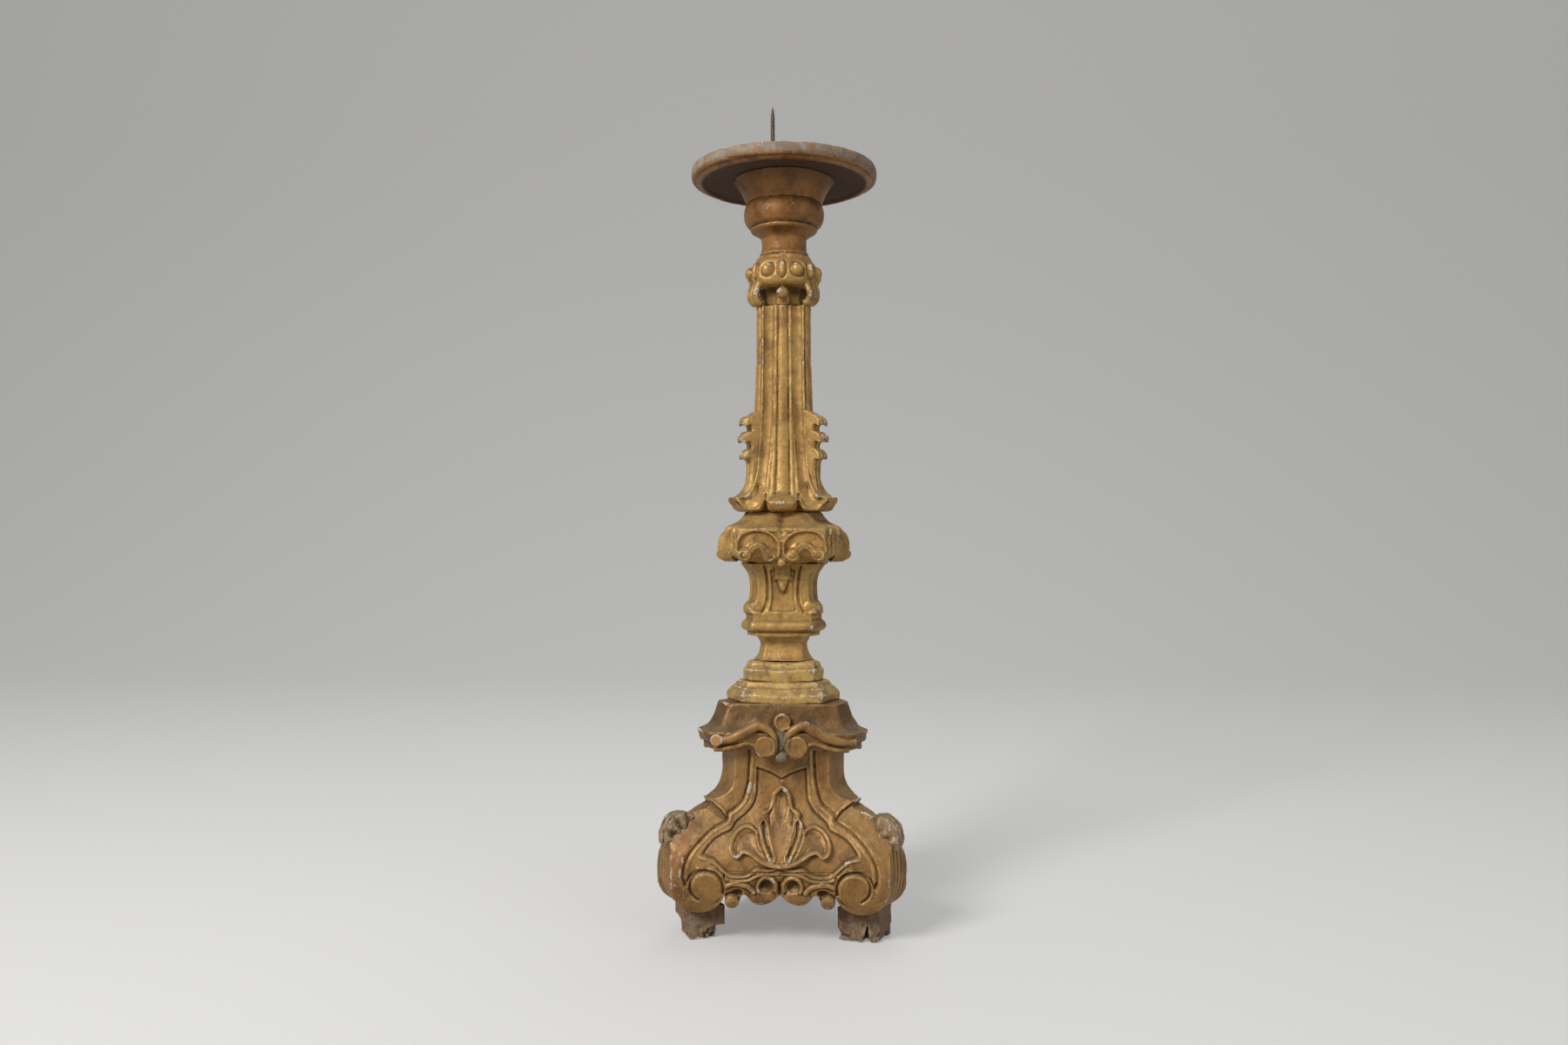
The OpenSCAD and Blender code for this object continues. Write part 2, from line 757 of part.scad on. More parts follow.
block_top_z = pedestal_z + block_h;
pedestal_flat = concat(
    [[block_flat - 5, pedestal_z], [block_flat - 5, pedestal_z + 4]],
    curve([block_flat - 3, pedestal_z + 5], [block_flat + 1, pedestal_z + 8],
          [block_flat + 1, pedestal_z + 13], [block_flat - 2, pedestal_z + 17], 5),
    [[block_flat - 4, pedestal_z + 18], [block_flat - 4, block_top_z]],
    curve([waist_flat + 2, block_top_z + 2], [waist_flat, block_top_z + 12],
          [waist_flat, knop_z - 26], [waist_flat + 1, knop_z - 18], 4),
    curve([waist_flat + 2, knop_z - 14], [waist_flat + 3, knop_z - 6], [waist_flat + 6, knop_z - 3],
          [waist_flat + 8, knop_z], 4));
pedestal_corner = concat(
    [[block_r - 6, pedestal_z], [block_r - 6, pedestal_z + 4]],
    curve([block_r - 4, pedestal_z + 5], [block_r + 1, pedestal_z + 8],
          [block_r + 1, pedestal_z + 13], [block_r - 2, pedestal_z + 17], 5),
    [[block_r - 4, pedestal_z + 18], [block_r - 4, block_top_z - 2]],
    curve([block_r, block_top_z], [block_r + 1, block_top_z + 6], [block_r - 3, block_top_z + 11],
          [waist_r + 3, block_top_z + 11], 3),
    curve([waist_r, block_top_z + 13], [waist_r, knop_z - 30], [waist_r - 1, knop_z - 22],
          [waist_r + 2, knop_z - 12], 4),
    [[waist_r + 11, knop_z]]);

module knop_pedestal() {
    waist_w = waist_flat * 0.6;
    color(gold)
        difference() {
            three_sided(pedestal_flat, pedestal_corner);
            // Grooves that border each face of the waist
            for (angle = faces)
                carving(moved_out(pedestal_flat, -2), 8, angle)
                    mirrored()
                        polygon(concat(
                            curve([waist_w + 5, knop_z - 1], [waist_w - 2, knop_z - 16],
                                  [waist_w, block_top_z + 14], [waist_w + 2, block_top_z + 2], 5),
                            curve([waist_w, block_top_z + 2], [waist_w - 2, block_top_z + 14],
                                  [waist_w - 4, knop_z - 16], [waist_w + 3, knop_z - 1], 5)));
            rod(lower_dowel_r + fit_gap, pedestal_z - 1, pedestal_z + dowel_depth / 2);
            rod(upper_dowel_r + fit_gap, knop_z - dowel_depth, knop_z + 1);
        }
    // The drop in the middle of each face
    color(dark_gold)
        for (angle = faces)
            raised(pedestal_flat, 4, angle) {
                translate([0, knop_z - 34]) petal(12, 22);
                translate([-11, knop_z - 14]) square([22, 12]);
            }
}

knop_flat_side = concat(
    curve([waist_flat + 9, knop_z], [waist_flat + 16, knop_z + 4], [knop_flat - 2, knop_z + 8],
          [knop_flat, knop_z + 16], 4),
    curve([knop_flat, shaft_z - 18], [knop_flat - 8, shaft_z - 16], [shaft_top_flat + 16, shaft_z - 12],
          [shaft_top_flat + 11, shaft_z], 5));
knop_corner_side = concat(
    curve([waist_r + 12, knop_z], [knop_r - 6, knop_z + 3], [knop_r, knop_z + 8],
          [knop_r, knop_z + 16], 4),
    curve([knop_r - 1, shaft_z - 18], [knop_r - 10, shaft_z - 14], [shaft_top_r + 16, shaft_z - 10],
          [shaft_top_r + 12, shaft_z], 5));

module mid_knop() {
    ribs = 3;
    rib_pitch = 9;
    color(gold)
        difference() {
            three_sided(knop_flat_side, knop_corner_side);
            // Ribs down the corners
            for (angle = corners, i = [0 : ribs])
                carving(moved_out(knop_corner_side, -2), 4, angle)
                    translate([(i - ribs / 2) * rib_pitch - 1, knop_z + 10])
                        square([2, knop_h - 30]);
            rod(upper_dowel_r + fit_gap, knop_z - 1, shaft_z + 1);
        }
}

module c_scroll_outline() {
    centre_z = knop_z + 14;
    end_r = c_scroll_r * 0.37;
    end_x = c_scroll_r - end_r;
    difference() {
        translate([c_scroll_x, centre_z]) circle(c_scroll_r);
        translate([c_scroll_x, centre_z - 2]) circle(c_scroll_r - 6);
        translate([0, centre_z - c_scroll_r - 8]) square([2 * c_scroll_x, c_scroll_r + 3]);
    }
    for (side = [-1, 1])
        translate([c_scroll_x + side * end_x, centre_z - 5]) circle(end_r);
}

module knop_scrolls(angle) {
    end_r = c_scroll_r * 0.37;
    front_side = [[knop_flat + c_scroll_out, knop_z - 4], [knop_flat + c_scroll_out, shaft_z - 16]];
    color(dark_gold)
        difference() {
            intersection() {
                seen_from(angle)
                    union() {
                        mirrored() c_scroll_outline();
                        // Peg and ball between the scrolls
                        translate([-2.5, knop_z + 8]) square([5, 30]);
                        translate([0, knop_z + 7]) circle(end_r * 0.65);
                    }
                behind(front_side, angle);
            }
            behind(knop_flat_side, angle);
            behind(pedestal_flat, angle);
        }
}

// ---- Shaft ----

foot_curl_z = shaft_z + 18;
shaft_flat = concat(
    [[shaft_foot_flat - 10, shaft_z], [shaft_foot_flat - 2, shaft_z + 4]],
    curve([shaft_foot_flat, shaft_z + 10], [shaft_foot_flat - 2, shaft_z + 40],
          [shaft_top_flat + 4, shaft_z + 60], [shaft_top_flat + 2, shaft_z + 110], 8),
    [[shaft_top_flat, collar_z]]);
shaft_corner = concat(
    [[shaft_foot_r - 12, shaft_z], [shaft_foot_r, shaft_z + 8]],
    curve([shaft_foot_r, shaft_z + 13], [shaft_foot_r - 14, shaft_z + 26],
          [shaft_top_r + 5, shaft_z + 50], [shaft_top_r + 1.5, shaft_z + 110], 8),
    [[shaft_top_r, collar_z]]);

// Two flutes on each side of the reed, drawn in towards the top
module flute_outline() {
    foot_z = shaft_z + 22;
    head_z = collar_z - 6;
    draw_in = 0.9;
    for (band = [[reed_w / 2, 2], [reed_w / 2 + 5, 9]])
        polygon([
            [band[0], foot_z], [band[0] + band[1], foot_z],
            [(band[0] + band[1]) * draw_in, head_z], [band[0] * draw_in, head_z]
        ]);
}

module shaft() {
    color(gold) {
        difference() {
            three_sided(shaft_flat, shaft_corner);
            for (angle = faces)
                carving(moved_out(shaft_flat, -flute_depth), flute_depth + 2, angle)
                    mirrored() flute_outline();
            rod(upper_dowel_r + fit_gap, shaft_z - 1, shaft_z + dowel_depth);
            rod(tenon_r + fit_gap, collar_z - tenon_in_shaft, collar_z + 1);
        }
        // Scrolls and drop at the foot of each face
        for (angle = faces)
            raised(shaft_flat, 4, angle) {
                mirrored() translate([reed_w + 11, foot_curl_z - 4]) circle(10);
                translate([0, foot_curl_z - 3]) circle(reed_w * 0.75);
            }
    }
}

// Side of one tip of the leaf, as [distance, z] from its stalk to its end and back
function curled_tip(stalk, end, z) = concat(
    curve([stalk, z - curl_pitch + 4], [stalk, z - 6], [end - 9, z + 1], [end - 4, z - 4], 4),
    [[end - 2, z - 5.5], [end, z - 3]],
    curve([end, z], [end - 3, z + 3], [stalk + 4, z + 5], [stalk, z + 3], 4));

module leaf_curls(angle) {
    stalk = shaft_top_r + curl_out * 0.55;
    end = shaft_top_r + curl_out + 6;
    tips = [for (i = [0 : 2]) shaft_z + curls_rise + curl_pitch * i];
    side = concat(
        [[0, tips[0] - 2.2 * curl_pitch]],
        curve([stalk + 5, tips[0] - 2.2 * curl_pitch], [stalk + 1, tips[0] - 2 * curl_pitch],
              [stalk, tips[0] - 1.5 * curl_pitch], [stalk, tips[0] - curl_pitch], 4),
        curled_tip(stalk, end - 1.5, tips[0]),
        curled_tip(stalk, end, tips[1]),
        curled_tip(stalk, end - 2, tips[2]),
        [[stalk - 6, tips[2] + 7], [0, tips[2] + 7]]);
    top = curve([stalk - 2, curl_t / 2], [end - 4, curl_t / 2], [end + 1, curl_t / 4], [end + 1, 0], 5);
    color(dark_gold)
        difference() {
            rotate([0, 0, angle])
                intersection() {
                    rotate([90, 0, 0]) linear_extrude(2 * curl_t, center = true) polygon(side);
                    linear_extrude(collar_z)
                        polygon(concat([[0, curl_t / 2]], top, backwards([for (p = top) [p[0], -p[1]]]),
                                       [[0, -curl_t / 2]]));
                }
            three_sided(shaft_flat, shaft_corner);
        }
}

// ---- Collar ----

module bead_collar() {
    ring_low = collar_h * 0.42;
    ring = concat(
        [[0, 0], [shaft_top_r + 2, 0], [shaft_top_r + 1, ring_low - 8], [collar_r - 3, ring_low]],
        curve([collar_r, ring_low + 2], [collar_r + 2, ring_low + 12], [collar_r + 1, ring_low + 22],
              [collar_r - 5, collar_h - 4], 6),
        [[collar_r - 10, collar_h], [0, collar_h]]);
    bead_z = collar_z + collar_h * 0.7;
    pitch = 360 / beads;
    color(gold)
        difference() {
            union() {
                translate([0, 0, collar_z]) rotate_extrude() polygon(ring);
                for (i = [0 : beads - 1]) {
                    rotate([0, 0, front + (i + 0.5) * pitch])
                        translate([collar_r - 2, 0, bead_z]) sphere(bead_r);
                    rotate([0, 0, front + i * pitch])
                        translate([collar_r - 0.5, 0, bead_z - bead_r])
                            rotate_extrude() polygon([[0, 0], [3.2, bead_r * 0.7], [3.6, bead_r], [3.2, bead_r * 1.3], [0, 2 * bead_r]]);
                }
                // Ball under the middle of each face, and a curl on each corner
                for (angle = faces)
                    rotate([0, 0, angle])
                        translate([shaft_top_r + 4, 0, collar_z + ring_low - ball_r]) sphere(ball_r);
                for (angle = corners, side = [-1, 1])
                    rotate([0, 0, angle + 16 * side])
                        translate([shaft_top_r + 3, 0, collar_z + ring_low - ball_r - 2]) sphere(ball_r - 1);
            }
            rod(tenon_r + fit_gap, collar_z - 1, stem_z + 1);
        }
}

// ---- Stem, pan and spike ----

module pan_stem() {
    bulb_z = stem_h * 0.57;
    profile = concat(
        [[tenon_r, -collar_h - tenon_in_shaft], [tenon_r, 0], [stem_neck_r + 3, 0]],
        curve([stem_neck_r + 3, 2], [stem_neck_r, 5], [stem_neck_r, 14], [stem_neck_r + 1, 20], 5),
        curve([stem_neck_r + 3, 23], [bulb_r - 12, 26], [bulb_r - 8, 27], [bulb_r - 6, 31], 3),
        [[bulb_r - 7, 32], [bulb_r - 4, 35]],
        curve([bulb_r - 3, 37], [bulb_r + 1, bulb_z - 6], [bulb_r + 1, bulb_z + 6], [bulb_r - 3, bulb_z + 11], 6),
        curve([bulb_r - 5, bulb_z + 13], [bulb_r + 1, bulb_z + 20], [cup_r - 6, stem_h - 10],
              [cup_r, stem_h], 5),
        [[spigot_r, stem_h], [spigot_r, stem_h + spigot_l], [0, stem_h + spigot_l],
         [0, -collar_h - tenon_in_shaft]]);
    color(gold)
        difference() {
            translate([0, 0, stem_z]) rotate_extrude() polygon(profile);
            translate([-spike_x, 0, 0]) rod(tang_r + fit_gap, pan_z + pan_t - tang_l, pan_z + 1);
        }
}

module drip_pan() {
    top = pan_t + dish_depth;
    ring_r = pan_r - rim_w;
    profile = concat(
        [[0, 0], [ring_r - 8, 0]],
        curve([ring_r - 7, -0.5], [ring_r - 3, -1], [ring_r - 1, -rim_drop + 1], [ring_r, -rim_drop], 3),
        [[pan_r - 4, -rim_drop], [pan_r - 4, -rim_drop + 2]],
        curve([pan_r - 2, -rim_drop + 2], [pan_r + 1, 0], [pan_r, top - 4], [pan_r - 4, top], 6),
        [[ring_r + 2, top], [ring_r - 4, pan_t], [0, pan_t]]);
    color(gold)
        difference() {
            translate([0, 0, pan_z]) rotate_extrude() polygon(profile);
            rod(spigot_r + fit_gap, pan_z - 1, pan_z + spigot_l);
            translate([-spike_x, 0, pan_z]) {
                rod(tang_r + fit_gap, -1, top + 1);
                translate([0, 0, pan_t - sink])
                    cylinder(r1 = tang_r + fit_gap, r2 = spike_r + 2 * sink, h = 2 * sink);
            }
        }
}

module pricket() {
    foot = pan_z + pan_t;
    color(iron)
        translate([-spike_x, 0, 0]) {
            rod(tang_r, foot - tang_l, foot + 1);
            translate([0, 0, foot - sink]) cylinder(r1 = tang_r, r2 = spike_r, h = sink);
            rod(spike_r, foot, foot + spike_l);
            translate([0, 0, foot + spike_l])
                cylinder(r1 = spike_r, r2 = 0.3, h = spike_point);
        }
}

// ---- Dowels ----

lower_dowel_z = roof_z - top_block_t + 4;

module upper_dowel() {
    color(bare_wood) rod(upper_dowel_r, knop_z - dowel_depth, shaft_z + dowel_depth - 1);
}

module lower_dowel() {
    color(bare_wood) rod(lower_dowel_r, lower_dowel_z, pedestal_z + dowel_depth / 2 - 1);
}

pricket();
drip_pan();
pan_stem();
bead_collar();
shaft();
leaf_curls(front_right);  // leaf_curls_front_right
leaf_curls(back);  // leaf_curls_back
leaf_curls(front_left);  // leaf_curls_front_left
mid_knop();
knop_scrolls(front);  // knop_scrolls_front
knop_scrolls(right);  // knop_scrolls_right
knop_scrolls(left);  // knop_scrolls_left
knop_pedestal();
lower_neck();
plinth_upper();
plinth_lower();
roof_cap();
roof_scrolls(front);  // roof_scrolls_front
roof_scrolls(right);  // roof_scrolls_right
roof_scrolls(left);  // roof_scrolls_left
top_block();
base_panel(front);  // base_panel_front
base_panel(right);  // base_panel_right
base_panel(left);  // base_panel_left
palmette(front);  // palmette_front
palmette(right);  // palmette_right
palmette(left);  // palmette_left
apron(front);  // apron_front
apron(right);  // apron_right
apron(left);  // apron_left
scroll_leg(front_right);  // scroll_leg_front_right
scroll_leg(back);  // scroll_leg_back
scroll_leg(front_left);  // scroll_leg_front_left
leg_leaf(front_right);  // leg_leaf_front_right
leg_leaf(back);  // leg_leaf_back
leg_leaf(front_left);  // leg_leaf_front_left
corner_blocks();
foot(front_right);  // foot_front_right
foot(back);  // foot_back
foot(front_left);  // foot_front_left
foot_dowels();
upper_dowel();
lower_dowel();
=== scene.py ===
"""Carved and gilded pricket candle stand: three scroll legs, a roofed base, a knop,
a fluted shaft, a beaded collar and a turned pan with its iron spike.

Pieces are carved in millimetres, one for each node of the frame, and go out in metres.
A piece for a face is carved as if its face looked along -Y, one for a corner likewise.
"""

import logging
import math
from dataclasses import dataclass, field
from enum import Enum
from typing import Callable, Sequence

import bmesh
import bpy
import numpy as np
from mathutils import Matrix, Vector


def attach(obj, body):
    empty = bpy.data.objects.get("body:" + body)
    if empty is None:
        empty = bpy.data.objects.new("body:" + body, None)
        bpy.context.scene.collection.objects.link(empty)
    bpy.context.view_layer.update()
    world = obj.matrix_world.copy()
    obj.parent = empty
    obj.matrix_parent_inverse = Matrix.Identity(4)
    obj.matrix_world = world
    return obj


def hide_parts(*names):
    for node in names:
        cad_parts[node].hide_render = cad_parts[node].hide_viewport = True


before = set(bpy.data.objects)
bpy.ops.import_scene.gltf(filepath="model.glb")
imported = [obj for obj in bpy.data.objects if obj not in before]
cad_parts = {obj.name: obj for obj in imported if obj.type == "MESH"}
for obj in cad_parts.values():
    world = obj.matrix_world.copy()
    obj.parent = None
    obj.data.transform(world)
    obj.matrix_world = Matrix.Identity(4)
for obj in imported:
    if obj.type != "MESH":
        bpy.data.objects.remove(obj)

log = logging.getLogger("candle_stand")

MM = 0.001
DENSE = 30_000  # faces from which a carved mesh is thinned
SHARE_KEPT = 0.65  # of its triangles
EDGE_REACH, FINE_REACH, BROAD_REACH = 6, 5, 36  # how many vertices round it a vertex is compared with
EDGE_SHARP = 0.35  # mm out of the surface round it, from which an edge chips most
ALL_AXES = {"use_axis_x": True, "use_axis_y": True, "use_axis_z": True}
QUARTER_TURN = Matrix.Rotation(-math.pi / 2, 3, "Z")
Points = np.ndarray
HeightField = Callable[[Points, Points], Points]
Value = bpy.types.NodeSocket | float
Colour = bpy.types.NodeSocket | tuple


class Face(Enum):
    """The three broad faces, by the direction that each looks in."""

    FRONT = -90.0
    RIGHT = 30.0
    LEFT = 150.0


class Corner(Enum):
    """The three corners, by the direction that each looks in."""

    FRONT_RIGHT = -30.0
    BACK = 90.0
    FRONT_LEFT = -150.0


def named(piece: str, side: Face | Corner) -> str:
    """The name of the node that holds a piece on one side."""
    return f"{piece}_{side.name.lower()}"


def outward(angle: float) -> tuple[Points, Points]:
    """The directions out of a side and along it, seen from above, from the angle that it looks in."""
    look = math.radians(angle)
    out = np.array([math.cos(look), math.sin(look)])
    return out, np.array([-out[1], out[0]])


# ---------------------------------------------------------------- lines and profiles


def swoop(a: Sequence, b: Sequence, c: Sequence, d: Sequence, steps: int = 10) -> Points:
    """A curve from a to d that leaves towards b and arrives from c.

    Args:
        a, b, c, d: Its four control points.
        steps: How many spans it has.

    Returns:
        The points, one row each.
    """
    t = np.linspace(0.0, 1.0, steps + 1)[:, None]
    a, b, c, d = (np.asarray(p, float) for p in (a, b, c, d))
    return (1 - t) ** 3 * a + 3 * (1 - t) ** 2 * t * b + 3 * (1 - t) * t**2 * c + t**3 * d


def through(knots: Sequence, spans: int = 8) -> Points:
    """A smooth line through some knots.

    Args:
        knots: The points that it passes, in two or three dimensions.
        spans: Steps from each knot to the next.

    Returns:
        The points of the line, one row each.
    """
    p = np.asarray(knots, float)
    p = np.vstack([2 * p[0] - p[1], p, 2 * p[-1] - p[-2]])
    t = np.linspace(0.0, 1.0, spans, endpoint=False)[:, None]
    rows = [
        0.5 * (2 * p[i] + (p[i + 1] - p[i - 1]) * t
               + (2 * p[i - 1] - 5 * p[i] + 4 * p[i + 1] - p[i + 2]) * t**2
               + (3 * p[i] - p[i - 1] - 3 * p[i + 1] + p[i + 2]) * t**3)
        for i in range(1, len(p) - 2)
    ]
    return np.vstack(rows + [p[-2:-1]])


def arc(centre: Sequence, radius: float, start: float, end: float, end_radius: float | None = None,
        steps: int = 24) -> Points:
    """An arc, or a spiral where its radius changes.

    Args:
        centre: Its centre, as x and z.
        radius: The radius at its start.
        start, end: The angles, in degrees.
        end_radius: The radius at its end, if it isn't the same.
        steps: How many spans it has.

    Returns:
        The points of the arc.
    """
    turn = np.radians(np.linspace(start, end, steps + 1))
    reach = np.linspace(radius, radius if end_radius is None else end_radius, steps + 1)
    return np.column_stack([centre[0] + reach * np.cos(turn), centre[1] + reach * np.sin(turn)])


def straight(ax: float, az: float, bx: float, bz: float) -> Points:
    """A line from one point to another."""
    return np.array([(ax, az), (bx, bz)])


def mirrored(half: Points) -> Points:
    """Half an outline, from the middle outwards, together with its mirror image."""
    other = half[::-1].copy()
    other[:, 0] *= -1
    return np.vstack([other, half])


def at_height(profile: Points, z: Points) -> Points:
    """The distance that a profile of [distance, z] has at each height."""
    return np.interp(z, profile[:, 1], profile[:, 0])


def nearest(line: Points, x: Points, z: Points) -> Points:
    """How far each point lies from a line."""
    best = np.full(x.shape, 1e9)
    for (ax, az), (bx, bz) in zip(line[:-1], line[1:]):
        ux, uz = bx - ax, bz - az
        length = ux * ux + uz * uz + 1e-12
        t = np.clip(((x - ax) * ux + (z - az) * uz) / length, 0, 1)
        best = np.minimum(best, (x - ax - t * ux) ** 2 + (z - az - t * uz) ** 2)
    return np.sqrt(best)


def inside(outline: Points, x: Points, z: Points) -> Points:
    """Whether each point lies inside a closed outline."""
    odd = np.zeros(x.shape, bool)
    for (ax, az), (bx, bz) in zip(outline, np.roll(outline, -1, axis=0)):
        if az == bz:
            continue
        crosses = (az > z) != (bz > z)
        odd ^= crosses & (x < (bx - ax) * (z - az) / (bz - az) + ax)
    return odd


def ease(t: Points) -> Points:
    """A soft step from 0 to 1."""
    t = np.clip(t, 0, 1)
    return t * t * (3 - 2 * t)


# ---------------------------------------------------------------- the carver's cuts


@dataclass(frozen=True)
class Groove:
    """A V cut along a line."""

    line: Points
    depth: float
    width: float = 1.0

    def carve(self, h: Points, x: Points, z: Points) -> Points:
        """The heights after the cut."""
        return h - self.depth * np.exp(-((nearest(self.line, x, z) / self.width) ** 2))


@dataclass(frozen=True)
class Bead:
    """A round moulding raised along a line."""

    line: Points
    radius: float
    height: float

    def carve(self, h: Points, x: Points, z: Points) -> Points:
        """The heights with the bead on them."""
        d = nearest(self.line, x, z) / self.radius
        return h + self.height * np.sqrt(np.clip(1 - d * d, 0, 1))


@dataclass(frozen=True)
class Swell:
    """A round swelling, or a dished hollow where its height is negative."""

    centre: tuple
    radius: float
    height: float
    squash: float = 1.0

    def carve(self, h: Points, x: Points, z: Points) -> Points:
        """The heights with the swelling on them."""
        d2 = ((x - self.centre[0]) ** 2 + ((z - self.centre[1]) / self.squash) ** 2) / self.radius**2
        return h + self.height * np.sqrt(np.clip(1 - d2, 0, 1))


@dataclass(frozen=True)
class Ground:
    """A field raised or sunk inside an outline, with a soft edge."""

    outline: Points
    height: float
    edge: float = 1.2
    dish: float = 0.0
    dish_width: float = 6.0

    def carve(self, h: Points, x: Points, z: Points) -> Points:
        """The heights with the field in them."""
        within = inside(self.outline, x, z)
        d = nearest(np.vstack([self.outline, self.outline[:1]]), x, z)
        step = ease(0.5 + np.where(within, d, -d) / self.edge / 2)
        return h + self.height * step + np.where(within, self.dish * ease(d / self.dish_width), 0.0)


@dataclass(frozen=True)
class Notch:
    """A cut that is deepest along its upper edge and runs out at its lower one."""

    upper: Points
    lower: Points
    depth: float

    def carve(self, h: Points, x: Points, z: Points) -> Points:
        """The heights after the cut."""
        within = inside(np.vstack([self.upper, self.lower[::-1]]), x, z)
        above, below = nearest(self.upper, x, z), nearest(self.lower, x, z)
        return h - np.where(within, self.depth * below / (above + below + 1e-6), 0.0)


def relief(cuts: Sequence) -> HeightField:
    """All cuts together, as one function of x and z."""

    def height(x: Points, z: Points) -> Points:
        """The heights after every cut."""
        h = np.zeros(x.shape)
        for cut in cuts:
            h = cut.carve(h, x, z)
        return h

    return height


def as_drawn(line: Points) -> Points:
    """The line on the side where it was drawn."""
    return line


def mirror_line(line: Points) -> Points:
    """The same line on the other side of the middle."""
    return line * np.array([-1.0, 1.0])


BOTH_SIDES = (as_drawn, mirror_line)


def spot(side: Callable[[Points], Points], x: float, z: float) -> tuple:
    """A point on one side of the middle, from where it was drawn."""
    return tuple(side(np.array([x, z])))


# ---------------------------------------------------------------- wood


STRIDES = (374761393, 668265263, 2147483647, 974634777)  # large odd numbers, for x, y, z and the seed
MIXER = 1274126177
WORD = 0xFFFFFFFF
HALF_WORD = 0xFFFF


def lattice(points: Points, size: float, seed: int) -> Points:
    """Smooth noise from -1 to 1 with grains of a given size, the same on each run.

    Args:
        points: Places, one row each.
        size: The size of a grain, in the points' own unit.
        seed: Picks another pattern.

    Returns:
        One number for each place.
    """
    p = points / size + 17.0 * seed
    cell = np.floor(p).astype(np.int64)
    t = ease(p - cell)
    total = np.zeros(len(points))
    for corner in range(8):
        step = np.array([corner & 1, corner >> 1 & 1, corner >> 2 & 1])
        k = cell + step
        n = (k[:, 0] * STRIDES[0] + k[:, 1] * STRIDES[1] + k[:, 2] * STRIDES[2] + seed * STRIDES[3]) & WORD
        n = ((n ^ (n >> 13)) * MIXER) & WORD
        value = ((n ^ (n >> 16)) & HALF_WORD) / (HALF_WORD / 2) - 1.0
        total += value * np.prod(np.where(step, t, 1 - t), axis=1)
    return total


